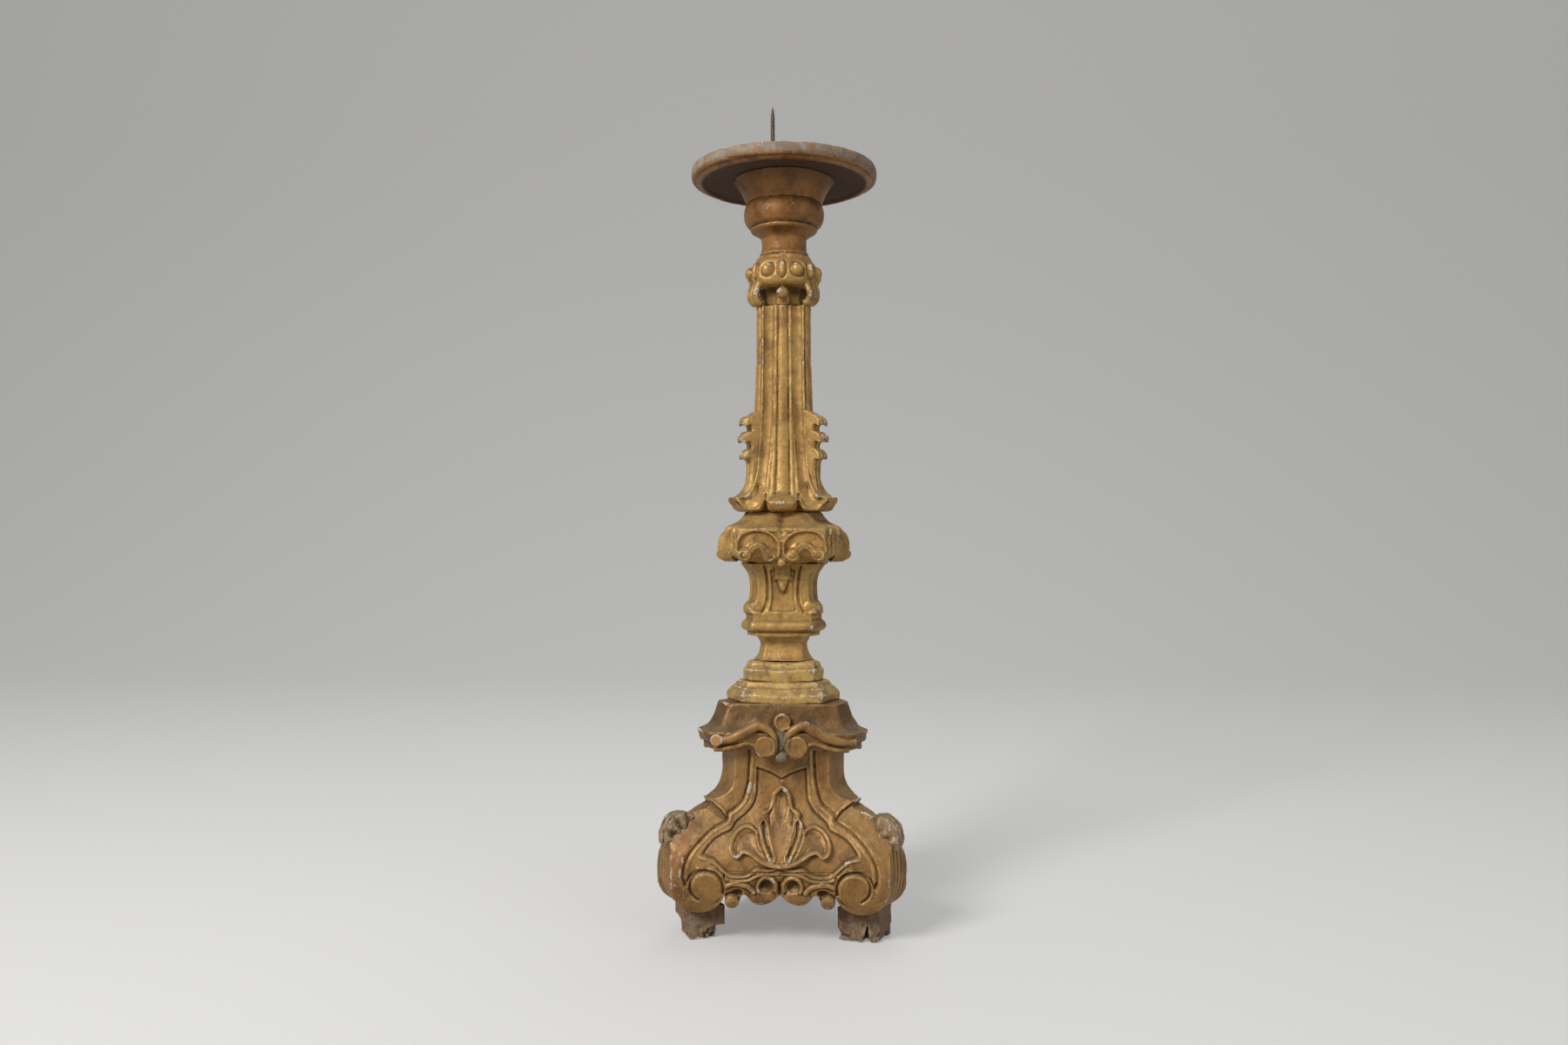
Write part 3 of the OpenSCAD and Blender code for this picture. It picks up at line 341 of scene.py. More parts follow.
class Blank:
    """A piece of wood under the carver's hands, as a bmesh in millimetres."""

    def __init__(self) -> None:
        """Starts with no wood."""
        self.mesh = bmesh.new()

    # -- shapes to start from

    def sheet(self, across: int, up: int, place: Callable[[Points, Points], Points],
              closed: bool = False, capped: bool = False) -> list:
        """A grid laid by a function of its two coordinates, each from 0 to 1.

        Args:
            across, up: How many steps it has each way.
            place: Gives a row of x, y, z for each pair of coordinates.
            closed: Whether its sides meet, as round a tube.
            capped: Whether its ends are filled.

        Returns:
            Its vertices.
        """
        made = bmesh.ops.create_grid(self.mesh, x_segments=across, y_segments=up, size=1.0)["verts"]
        flat = np.array([v.co[:2] for v in made])
        for v, co in zip(made, place((flat[:, 0] + 1) / 2, (flat[:, 1] + 1) / 2)):
            v.co = co
        if closed:
            bmesh.ops.remove_doubles(self.mesh, verts=made, dist=1e-4)
            made = [v for v in made if v.is_valid]
        if capped:
            rim = {e for v in made for e in v.link_edges if e.is_boundary}
            caps = bmesh.ops.holes_fill(self.mesh, edges=list(rim), sides=0)["faces"]
            for face in caps:
                face.smooth = False
                for edge in face.edges:
                    edge.smooth = False
        return made

    def tube(self, line: Points, radii: Points | float, sides: int = 14, flatten: float = 1.0) -> None:
        """A round bar along a line in space.

        Args:
            line: Its points, one row of x, y, z each.
            radii: Its radius, or one at each point.
            sides: How many sides it has.
            flatten: Its thickness along Y, as a share of its width.
        """
        line = np.asarray(line, float)
        radii = np.broadcast_to(np.asarray(radii, float), (len(line),))
        along = np.gradient(line, axis=0)
        along /= np.linalg.norm(along, axis=1)[:, None] + 1e-9
        side = np.cross(along, [0.0, 1.0, 0.0])
        side /= np.linalg.norm(side, axis=1)[:, None] + 1e-9
        depth = np.cross(side, along)

        def place(u: Points, v: Points) -> Points:
            """Where the bar's skin lies, round it by u and along it by v."""
            i = np.rint(v * (len(line) - 1)).astype(int)
            a = u * 2 * math.pi
            ring = side[i] * np.cos(a)[:, None] + depth[i] * np.sin(a)[:, None] * flatten
            return line[i] + ring * radii[i][:, None]

        self.sheet(sides, len(line) - 1, place, closed=True, capped=True)

    def ball(self, centre: Sequence, size: Sequence | float) -> None:
        """A round or stretched ball."""
        size = np.broadcast_to(np.asarray(size, float), (3,))
        place = Matrix.Translation(Vector(centre)) @ Matrix.Diagonal(Vector((*size, 1.0)))
        bmesh.ops.create_icosphere(self.mesh, subdivisions=3, radius=1.0, matrix=place)

    def disc(self, centre: Sequence, radius: float, back: float, front: float, edge: float = 1.0) -> None:
        """A round board that faces the front, from one distance out to another."""
        place = Matrix.Translation((centre[0], -(back + front) / 2, centre[1])) @ Matrix.Rotation(math.pi / 2, 4, "X")
        made = bmesh.ops.create_cone(self.mesh, cap_ends=True, segments=48, radius1=radius, radius2=radius,
                                     depth=front - back, matrix=place)["verts"]
        rims = {e for v in made for e in v.link_edges
                if all(abs(-w.co.y - front) < 1e-6 for w in e.verts)}
        bmesh.ops.bevel(self.mesh, geom=list(rims), offset=edge, segments=3, profile=0.5,
                        affect="EDGES", material=-1)

    def board(self, outline: Points, back: float, front: float) -> None:
        """A board sawn to an outline, from one distance out to another."""
        verts = [self.mesh.verts.new((x, -back, z)) for x, z in outline]
        face = self.mesh.faces.new(verts)
        if face.normal.y < 0:
            face.normal_flip()
        grown = bmesh.ops.extrude_face_region(self.mesh, geom=[face])["geom"]
        ends = [g for g in grown if isinstance(g, bmesh.types.BMVert)]
        bmesh.ops.translate(self.mesh, verts=ends, vec=(0, back - front, 0))
        bmesh.ops.recalc_face_normals(self.mesh, faces=self.mesh.faces)

    def lathe(self, profile: Points, steps: int) -> None:
        """Wood turned round the centre line, from a closed profile of [radius, z]."""
        verts = [self.mesh.verts.new((r, 0, z)) for r, z in profile]
        ends = verts[1:] + verts[:1]
        edges = [self.mesh.edges.new((a, b)) for a, b in zip(verts, ends) if max(a.co.x, b.co.x) > 0]
        bmesh.ops.spin(self.mesh, geom=verts + edges, cent=(0, 0, 0), axis=(0, 0, 1),
                       angle=2 * math.pi, steps=steps, use_merge=True)
        bmesh.ops.remove_doubles(self.mesh, verts=self.mesh.verts, dist=1e-3)
        bmesh.ops.recalc_face_normals(self.mesh, faces=self.mesh.faces)

    # -- work on all of it

    @property
    def places(self) -> Points:
        """Where its vertices are, one row each."""
        return np.array([v.co for v in self.mesh.verts], float)

    @places.setter
    def places(self, rows: Points) -> None:
        """Moves its vertices, one row each."""
        for v, co in zip(self.mesh.verts, rows):
            v.co = co
        self.mesh.normal_update()

    @property
    def normals(self) -> Points:
        """Which way its surface looks at each vertex."""
        self.mesh.normal_update()
        return np.array([v.normal for v in self.mesh.verts], float)

    def fuse(self, voxel: float, smoothing: int = 2) -> "Blank":
        """Makes everything in the blank one skin, as if cut from one block.

        Args:
            voxel: The size of the new skin's faces.
            smoothing: How often the skin is rubbed down.

        Returns:
            The blank itself.
        """
        mesh = bpy.data.meshes.new("blank")
        self.mesh.to_mesh(mesh)
        self.mesh.free()
        block = bpy.data.objects.new("blank", mesh)
        bpy.context.scene.collection.objects.link(block)
        skin = block.modifiers.new("skin", "REMESH")
        skin.mode = "VOXEL"
        skin.voxel_size = voxel
        graph = bpy.context.evaluated_depsgraph_get()
        done = block.evaluated_get(graph)
        self.mesh = bmesh.new()
        self.mesh.from_mesh(done.to_mesh())
        done.to_mesh_clear()
        bpy.data.objects.remove(block)
        bpy.data.meshes.remove(mesh)
        for _ in range(smoothing):
            bmesh.ops.smooth_vert(self.mesh, verts=self.mesh.verts, factor=0.5, **ALL_AXES)
        return self

    def turn(self, angle: float) -> "Blank":
        """Turns a piece carved at the front to its own direction."""
        bmesh.ops.rotate(self.mesh, verts=self.mesh.verts, cent=(0, 0, 0),
                         matrix=Matrix.Rotation(math.radians(angle + 90.0), 3, "Z"))
        return self

    def lay_on(self, surface: Points, height: HeightField | None = None, thickness: float = 8.0) -> "Blank":
        """Bends a flat piece onto a face whose profile is [distance, z], and carves its front.

        Args:
            surface: The profile of the face.
            height: The relief, as a function of x and z.
            thickness: How far behind its front the relief fades out.

        Returns:
            The blank itself.
        """
        co = self.places
        out = -co[:, 1]
        if height is not None:
            front = ease(1 - (out.max() - out) / thickness)
            out = out + height(co[:, 0], co[:, 2]) * front
        co[:, 1] = -(at_height(surface, co[:, 2]) + out)
        self.places = co
        return self

    def weather(self, seed: int, wobble: float = 0.25, chips: float = 0.5) -> "Blank":
        """Wears the piece: an uneven hand-cut surface, and edges that are rubbed and chipped.

        Args:
            seed: Picks the pattern of wear.
            wobble: How uneven the surface is.
            chips: How deep the chips on its edges go.

        Returns:
            The blank itself.
        """
        co, n = self.places, self.normals
        sharp = np.clip(self.curvature(EDGE_REACH) / EDGE_SHARP, 0, 1)
        bite = np.clip(lattice(co, 6.0, seed + 5) * 1.6 - 0.45, 0, 1) + np.clip(lattice(co, 2.6, seed + 6) - 0.35, 0, 1)
        move = (wobble * (lattice(co, 14.0, seed) + 0.5 * lattice(co, 6.0, seed + 1))
                + 0.25 * wobble * lattice(co, 2.4, seed + 2) - chips * sharp * bite)
        self.places = co + n * move[:, None]
        return self

    def curvature(self, rounds: int) -> Points:
        """How far each vertex stands out of the surface round it, in millimetres.

        Args:
            rounds: How far round a vertex the surface is judged.

        Returns:
            One number for each vertex, negative in a hollow.
        """
        self.mesh.verts.index_update()
        ends = np.array([[e.verts[0].index, e.verts[1].index] for e in self.mesh.edges])
        co = self.places
        count = np.bincount(ends.ravel(), minlength=len(co)).astype(float) + 1e-9
        soft = co.copy()
        for _ in range(rounds):
            mean = np.column_stack([
                np.bincount(ends[:, 0], soft[ends[:, 1], k], len(co))
                + np.bincount(ends[:, 1], soft[ends[:, 0], k], len(co)) for k in range(3)])
            soft += 0.6 * (mean / count[:, None] - soft)
        return np.einsum("ij,ij->i", co - soft, self.normals)

    def knocked(self, knocks: Sequence) -> Points:
        """How hard each vertex was knocked, from places on the front given as x, z and radius."""
        co = self.places
        knock = np.zeros(len(co))
        for x, z, radius in knocks:
            near = 1 - np.hypot(co[:, 0] - x, co[:, 2] - z) / radius
            knock = np.maximum(knock, np.where(co[:, 1] < 0, ease(near * 1.8), 0.0))
        return knock

    def finish(self, node: str, slot: str, dress: bpy.types.Material, extra: dict | None = None,
               knocks: Sequence = ()) -> bpy.types.Object:
        """Makes the blank a finished piece that stands for a node of the frame.

        Args:
            node: The node that it replaces.
            slot: The name of its material slot; not used.
            dress: Its material.
            extra: More wear to write on it, by attribute name.
            knocks: Places on the front that are knocked bare, as x, z and radius.

        Returns:
            The new object.
        """
        fine, broad = self.curvature(FINE_REACH), self.curvature(BROAD_REACH)
        # The shader lightens the ridge share, partly as rubbed wear and partly as a painted highlight, and darkens the
        # hollow share, partly as grime and partly as painted shade. Knocks are real wear.
        marks = {"ridge": np.clip(fine / 0.28, 0, 1) * 0.65 + np.clip(broad / 2.2, 0, 1) * 0.35,
                "hollow": np.clip(-fine / 0.30, 0, 1) * 0.5 + np.clip(-broad / 1.8, 0, 1) * 0.5,
                "knock": self.knocked(knocks)}
        marks.update(extra or {})
        bmesh.ops.scale(self.mesh, verts=self.mesh.verts, vec=(MM, MM, MM))
        mesh = bpy.data.meshes.new(node + "_carved")
        for face in self.mesh.faces:
            face.smooth = len(face.verts) <= 4
        self.mesh.to_mesh(mesh)
        self.mesh.free()
        for name, values in marks.items():
            mesh.attributes.new(name, "FLOAT", "POINT").data.foreach_set("value", values.astype(np.float32))
        mesh.materials.append(dress)
        piece = bpy.data.objects.new(node + "_carved", mesh)
        bpy.context.scene.collection.objects.link(piece)
        if len(mesh.polygons) > DENSE:
            thinned = piece.modifiers.new("thinned", "DECIMATE")
            thinned.ratio = SHARE_KEPT
        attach(piece, "root")
        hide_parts(node)
        log.info("%s: %d faces", piece.name, len(mesh.polygons))
        return piece


def sawn(outline: Points, back: float, front: float, voxel: float, smoothing: int = 1, edge_on: bool = False) -> Blank:
    """A board sawn to an outline and made one skin.

    Args:
        outline: Its outline, as x and z.
        back, front: How far out its two faces lie.
        voxel, smoothing: The skin's face size, and how often it is rubbed down.
        edge_on: Whether the board stands on edge, with its outline seen from the side.
    """
    blank = Blank()
    blank.board(outline, back, front)
    if edge_on:
        bmesh.ops.rotate(blank.mesh, verts=blank.mesh.verts, cent=(0, 0, 0), matrix=QUARTER_TURN)
    return blank.fuse(voxel, smoothing)


# ---------------------------------------------------------------- three-sided bodies


def six_sided(angle: Points, flat: Points, corner: Points, crisp: float) -> tuple[Points, Points]:
    """The section of a body with three faces and three corners.

    Args:
        angle: Directions, in radians.
        flat, corner: Distances from the centre line to its faces and its corners.
        crisp: How sharp the edges between them are.

    Returns:
        The radius in each direction, and the share of each of the six sides in it.
    """
    looks = np.radians([side.value for side in (*Face, *Corner)])
    distance = np.where(np.arange(6) < 3, flat[:, None], corner[:, None])
    push = (np.clip(np.cos(angle[:, None] - looks), 1e-6, 1) / distance) ** crisp
    total = push.sum(axis=1)
    return total ** (-1 / crisp), push / total[:, None]


LEAST_SHARE = 0.02  # of a side in a direction, below which its relief is left out


@dataclass
class Tower:
    """A closed three-sided body between two heights."""

    flat: Points
    corner: Points
    around: int = 240
    pitch: float = 1.1
    crisp: float = 42.0
    on_faces: HeightField | None = None
    on_corners: HeightField | None = None

    def carve(self) -> Blank:
        """Builds the body, with the relief of its faces and corners."""
        low, high = self.flat[0, 1], self.flat[-1, 1]
        rows = max(6, int((high - low) / self.pitch))

        def place(u: Points, v: Points) -> Points:
            """Where the body's skin lies, round it by u and up it by v."""
            angle, z = u * 2 * math.pi, low + (high - low) * v
            r, share = six_sided(angle, at_height(self.flat, z), at_height(self.corner, z), self.crisp)
            xy = np.column_stack([r * np.cos(angle), r * np.sin(angle)])
            moved = xy.copy()
            sides = [(f, self.on_faces) for f in Face] + [(c, self.on_corners) for c in Corner]
            for i, (side, cuts) in enumerate(sides):
                if cuts is None:
                    continue
                out, along = outward(side.value)
                near = share[:, i] > LEAST_SHARE
                moved[near] += out * (share[near, i] * cuts(xy[near] @ along, z[near]))[:, None]
            return np.column_stack([moved, z])

        blank = Blank()
        blank.sheet(self.around, rows, place, closed=True, capped=True)
        bmesh.ops.recalc_face_normals(blank.mesh, faces=blank.mesh.faces)
        return blank


# ---------------------------------------------------------------- finishes


class Shader:
    """A material's nodes, laid and joined in short calls."""

    def __init__(self, name: str) -> None:
        """Starts a material.

        Args:
            name: Its name.
        """
        self.material = bpy.data.materials.new(name)
        self.material.use_nodes = True
        self.tree = self.material.node_tree
        self.surface = self.tree.nodes["Principled BSDF"]
        self.places = self.tree.nodes.new("ShaderNodeTexCoord").outputs["Object"]

    def join(self, value: Value | Colour, socket: bpy.types.NodeSocket) -> None:
        """Joins an output to a socket, or sets the socket to a plain value."""
        if isinstance(value, bpy.types.NodeSocket):
            self.tree.links.new(value, socket)
        else:
            socket.default_value = value

    def grain(self, size: float, detail: float = 3.0, stretch: Sequence = (1, 1, 1), rough: float = 0.55) -> Value:
        """Noise whose grains have a size in millimetres."""
        place = self.tree.nodes.new("ShaderNodeMapping")
        place.inputs["Scale"].default_value = [1 / (size * MM * s) for s in stretch]
        self.join(self.places, place.inputs["Vector"])
        noise = self.tree.nodes.new("ShaderNodeTexNoise")
        noise.inputs["Scale"].default_value = 1.0
        noise.inputs["Detail"].default_value = detail
        noise.inputs["Roughness"].default_value = rough
        self.join(place.outputs[0], noise.inputs["Vector"])
        return noise.outputs["Fac"]

    def spread(self, value: Value, low: float, high: float, to_low: float = 0.0, to_high: float = 1.0) -> Value:
        """Stretches a range of a value to another, and clips it there."""
        node = self.tree.nodes.new("ShaderNodeMapRange")
        node.interpolation_type = "SMOOTHSTEP"
        self.join(value, node.inputs["Value"])
        for name, number in zip(("From Min", "From Max", "To Min", "To Max"), (low, high, to_low, to_high)):
            node.inputs[name].default_value = number
        return node.outputs["Result"]

    def sum(self, how: str, a: Value, b: Value) -> Value:
        """Adds, multiplies or compares two values."""
        node = self.tree.nodes.new("ShaderNodeMath")
        node.operation = how
        node.use_clamp = how != "SUBTRACT"
        self.join(a, node.inputs[0])
        self.join(b, node.inputs[1])
        return node.outputs[0]

    def blend(self, share: Value, under: Colour, over: Colour) -> Colour:
        """One colour laid over another by a share."""
        node = self.tree.nodes.new("ShaderNodeMix")
        node.data_type = "RGBA"
        self.join(share, node.inputs["Factor"])
        for value, socket in ((under, node.inputs[6]), (over, node.inputs[7])):
            self.join(linear(value) if isinstance(value, tuple) else value, socket)
        return node.outputs[2]

    def attribute(self, name: str) -> Value:
        """A value written on the piece's own vertices."""
        node = self.tree.nodes.new("ShaderNodeAttribute")
        node.attribute_name = name
        return node.outputs["Fac"]

    def up(self) -> Value:
        """How much the surface looks upwards."""
        node = self.tree.nodes.new("ShaderNodeSeparateXYZ")
        self.join(self.tree.nodes.new("ShaderNodeNewGeometry").outputs["Normal"], node.inputs[0])
        return node.outputs["Z"]

    def bump(self, height: Value, depth: float, under: Value | None = None) -> Value:
        """Small relief in the surface, its depth in millimetres."""
        node = self.tree.nodes.new("ShaderNodeBump")
        node.inputs["Strength"].default_value = 1.0
        node.inputs["Distance"].default_value = depth * MM
        self.join(height, node.inputs["Height"])
        if under is not None:
            self.join(under, node.inputs["Normal"])
        return node.outputs[0]


def linear(colour: tuple) -> tuple:
    """A colour given as on the screen, from 0 to 255, made linear."""
    parts = [c / 255 for c in colour[:3]]
    return tuple(p / 12.92 if p <= 0.04045 else ((p + 0.055) / 1.055) ** 2.4 for p in parts) + (1.0,)


@dataclass(frozen=True)
class Gilding:
    """Old gilding over red bole and white gesso, overpainted with bronze."""

    name: str
    leaf: tuple = (186, 146, 80)
    deep: tuple = (144, 104, 51)
    pale: tuple = (218, 188, 122)
    # The dark colour below is laid as real grime and as painted shade in hollows and under parts.
    grime_and_shade_colour: tuple = (46, 29, 15)
    bole: tuple = (120, 62, 34)
    gesso: tuple = (226, 213, 186)
    dust: tuple = (126, 116, 96)
    wood: tuple = (208, 150, 92)
    worn: float = 0.5
    # How strongly the dark colour is laid, as random grime and as painted shade in hollows.
    grimed_and_shaded: float = 0.8
    dusty: float = 0.45
    sheen: float = 0.44
    metal: float = 0.35

    def build(self) -> bpy.types.Material:
        """Lays the nodes of the finish."""
        s = Shader(self.name)
        ridge, hollow, knock = s.attribute("ridge"), s.attribute("hollow"), s.attribute("knock")
        broad, patch = s.grain(26, 3, stretch=(1, 1, 2)), s.grain(9, 4)
        speck, fine = s.grain(2.6, 3), s.grain(0.9, 2)
        streak = s.grain(1.3, 3, stretch=(1, 1, 4))
        colour = s.blend(s.spread(broad, 0.32, 0.54), self.deep, self.leaf)
        colour = s.blend(s.spread(streak, 0.50, 0.76, 0, 0.45), colour, self.deep)
        colour = s.blend(s.spread(streak, 0.50, 0.28, 0, 0.25), colour, self.pale)
        colour = s.blend(s.spread(patch, 0.54, 0.72, 0, 0.45), colour, self.pale)
        colour = s.blend(s.spread(speck, 0.52, 0.70, 0, 0.35), colour, self.deep)
        # Painted highlight: ridges and raised edges are lightened towards the pale colour, partly as rubbed wear and
        # partly as a painted highlight.
        colour = s.blend(s.spread(ridge, 0.10, 0.70, 0, 0.75), colour, self.pale)
        # Painted shade: hollows and creases darken towards the dark colour, partly real grime and partly painted shade.
        # The attribute that a piece writes for it (under the pan, inside the collar's bead ring, at the top of the
        # stem) is painted shade only.
        shade_and_grime = s.sum("MULTIPLY", s.spread(hollow, 0.06, 0.62), s.spread(patch, 0.25, 0.60, 0.7, 1.0))
        shade_and_grime = s.sum("MAXIMUM", shade_and_grime, s.attribute("shade_and_grime"))
        colour = s.blend(s.sum("MULTIPLY", shade_and_grime, self.grimed_and_shaded), colour, self.grime_and_shade_colour)
        grime = s.sum("MULTIPLY", s.spread(s.grain(21, 4), 0.52, 0.70), 0.45 * self.grimed_and_shaded)
        colour = s.blend(grime, colour, self.grime_and_shade_colour)
        settled = s.sum("MULTIPLY", s.spread(s.up(), 0.30, 0.95, 0.0, self.dusty),
                        s.spread(patch, 0.30, 0.60, 0.3, 1.0))
        dust = s.sum("MAXIMUM", settled, s.spread(s.attribute("dusted"), 0.05, 0.8, 0.0, 0.9))
        colour = s.blend(dust, colour, self.dust)
        hit = s.sum("MULTIPLY", knock, s.spread(ridge, 0.0, 0.35, 0.15, 0.31))
        edge = s.sum("ADD", s.sum("MULTIPLY", ridge, 0.20), hit)
        red = s.spread(s.sum("ADD", edge, s.sum("MULTIPLY", s.grain(14, 4, rough=0.65), 0.9)), 0.50, 0.68, 0.0, 0.42)
        colour = s.blend(red, colour, self.bole)
        flaked = s.sum("ADD", edge, s.grain(3.2, 7, rough=0.75))
        bare = 0.835 - 0.06 * self.worn
        bole = s.spread(flaked, bare - 0.035, bare - 0.01, 0.0, 0.7)
        white = s.spread(flaked, bare, bare + 0.02)
        loose = s.sum("MULTIPLY", s.spread(s.grain(7.5, 5, rough=0.75), 0.72, 0.745), min(1.0, 1.4 * self.worn))
        colour = s.blend(bole, colour, self.bole)
        bared = s.sum("MAXIMUM", white, loose)
        chip = s.blend(s.spread(fine, 0.42, 0.72), self.gesso, self.dust)
        colour = s.blend(bared, colour, chip)
        stump = s.attribute("open_wood")
        colour = s.blend(s.spread(stump, 0.02, 0.10), colour, chip)
        colour = s.blend(s.spread(stump, 0.42, 0.55), colour, self.wood)
        s.join(colour, s.surface.inputs["Base Color"])
        dull = s.sum("MAXIMUM", s.sum("MAXIMUM", bared, shade_and_grime), s.sum("MAXIMUM", dust, s.spread(stump, 0.0, 0.1)))
        s.join(s.spread(dull, 0.0, 1.0, self.metal, 0.0), s.surface.inputs["Metallic"])
        rough = s.spread(s.sum("MAXIMUM", dull, s.spread(patch, 0.4, 0.9)), 0.0, 1.0, self.sheen, 0.85)
        s.join(rough, s.surface.inputs["Roughness"])
        normal = s.bump(s.grain(3.2, 3), 0.25)
        normal = s.bump(s.sum("SUBTRACT", fine, s.sum("MULTIPLY", bared, 0.9)), 0.16, normal)
        s.join(normal, s.surface.inputs["Normal"])
        return s.material


@dataclass(frozen=True)
class OldWood:
    """Bare, unpainted softwood with a worn or sawn surface."""

    name: str
    pale: tuple = (166, 140, 110)
    dark: tuple = (108, 82, 58)
    grey: tuple = (146, 132, 112)
    red: tuple = (130, 84, 58)
    greyed: float = 0.7
    # How strongly hollows darken, partly as grime and partly as painted shade.
    grimed_and_shaded: float = 0.85

    def build(self) -> bpy.types.Material:
        """Lays the nodes of the finish."""
        s = Shader(self.name)
        streak = s.grain(2.4, 5, stretch=(1, 1, 3))
        colour = s.blend(s.spread(streak, 0.30, 0.72), self.dark, self.pale)
        colour = s.blend(s.spread(s.grain(15, 3), 0.52, 0.68, 0, 0.8), colour, self.red)
        colour = s.blend(s.spread(s.grain(8, 4), 0.42, 0.64, 0, self.greyed), colour, self.grey)
        # Painted shade: hollows and creases darken, partly real grime and partly painted shade.
        shade_and_grime = s.sum("MULTIPLY", s.spread(s.attribute("hollow"), 0.05, 0.7), self.grimed_and_shaded)
        colour = s.blend(shade_and_grime, colour, (44, 32, 25))
        colour = s.blend(s.spread(s.attribute("ridge"), 0.25, 0.9, 0, 0.5), colour, (190, 174, 150))
        s.join(colour, s.surface.inputs["Base Color"])
        s.join(s.spread(streak, 0.3, 0.7, 0.72, 0.92), s.surface.inputs["Roughness"])
        s.join(s.bump(s.grain(1.1, 3), 0.25, s.bump(streak, 0.3)), s.surface.inputs["Normal"])
        return s.material


@dataclass(frozen=True)
class ForgedIron:
    """Brown, thinly rusted wrought iron."""

    name: str = "forged_iron"
    dark: tuple = (72, 62, 56)
    rust: tuple = (122, 92, 72)

    def build(self) -> bpy.types.Material:
        """Lays the nodes of the finish."""
        s = Shader(self.name)
        scale = s.grain(3.0, 5)
        s.join(s.blend(s.spread(scale, 0.40, 0.62), self.dark, self.rust), s.surface.inputs["Base Color"])
        s.join(s.spread(scale, 0.38, 0.60, 0.75, 0.15), s.surface.inputs["Metallic"])
        s.join(s.spread(scale, 0.35, 0.65, 0.42, 0.80), s.surface.inputs["Roughness"])
        s.join(s.bump(s.grain(1.2, 4), 0.25), s.surface.inputs["Normal"])
        return s.material


# ---------------------------------------------------------------- sub-assemblies


@dataclass
class Workshop:
    """The finishes that the carvers share."""

    gold: bpy.types.Material
    base_gold: bpy.types.Material
    dark_gold: bpy.types.Material
    pale_gold: bpy.types.Material
    worn_gold: bpy.types.Material
    crown_gold: bpy.types.Material
    foot_wood: bpy.types.Material
    bare_wood: bpy.types.Material
    iron: bpy.types.Material


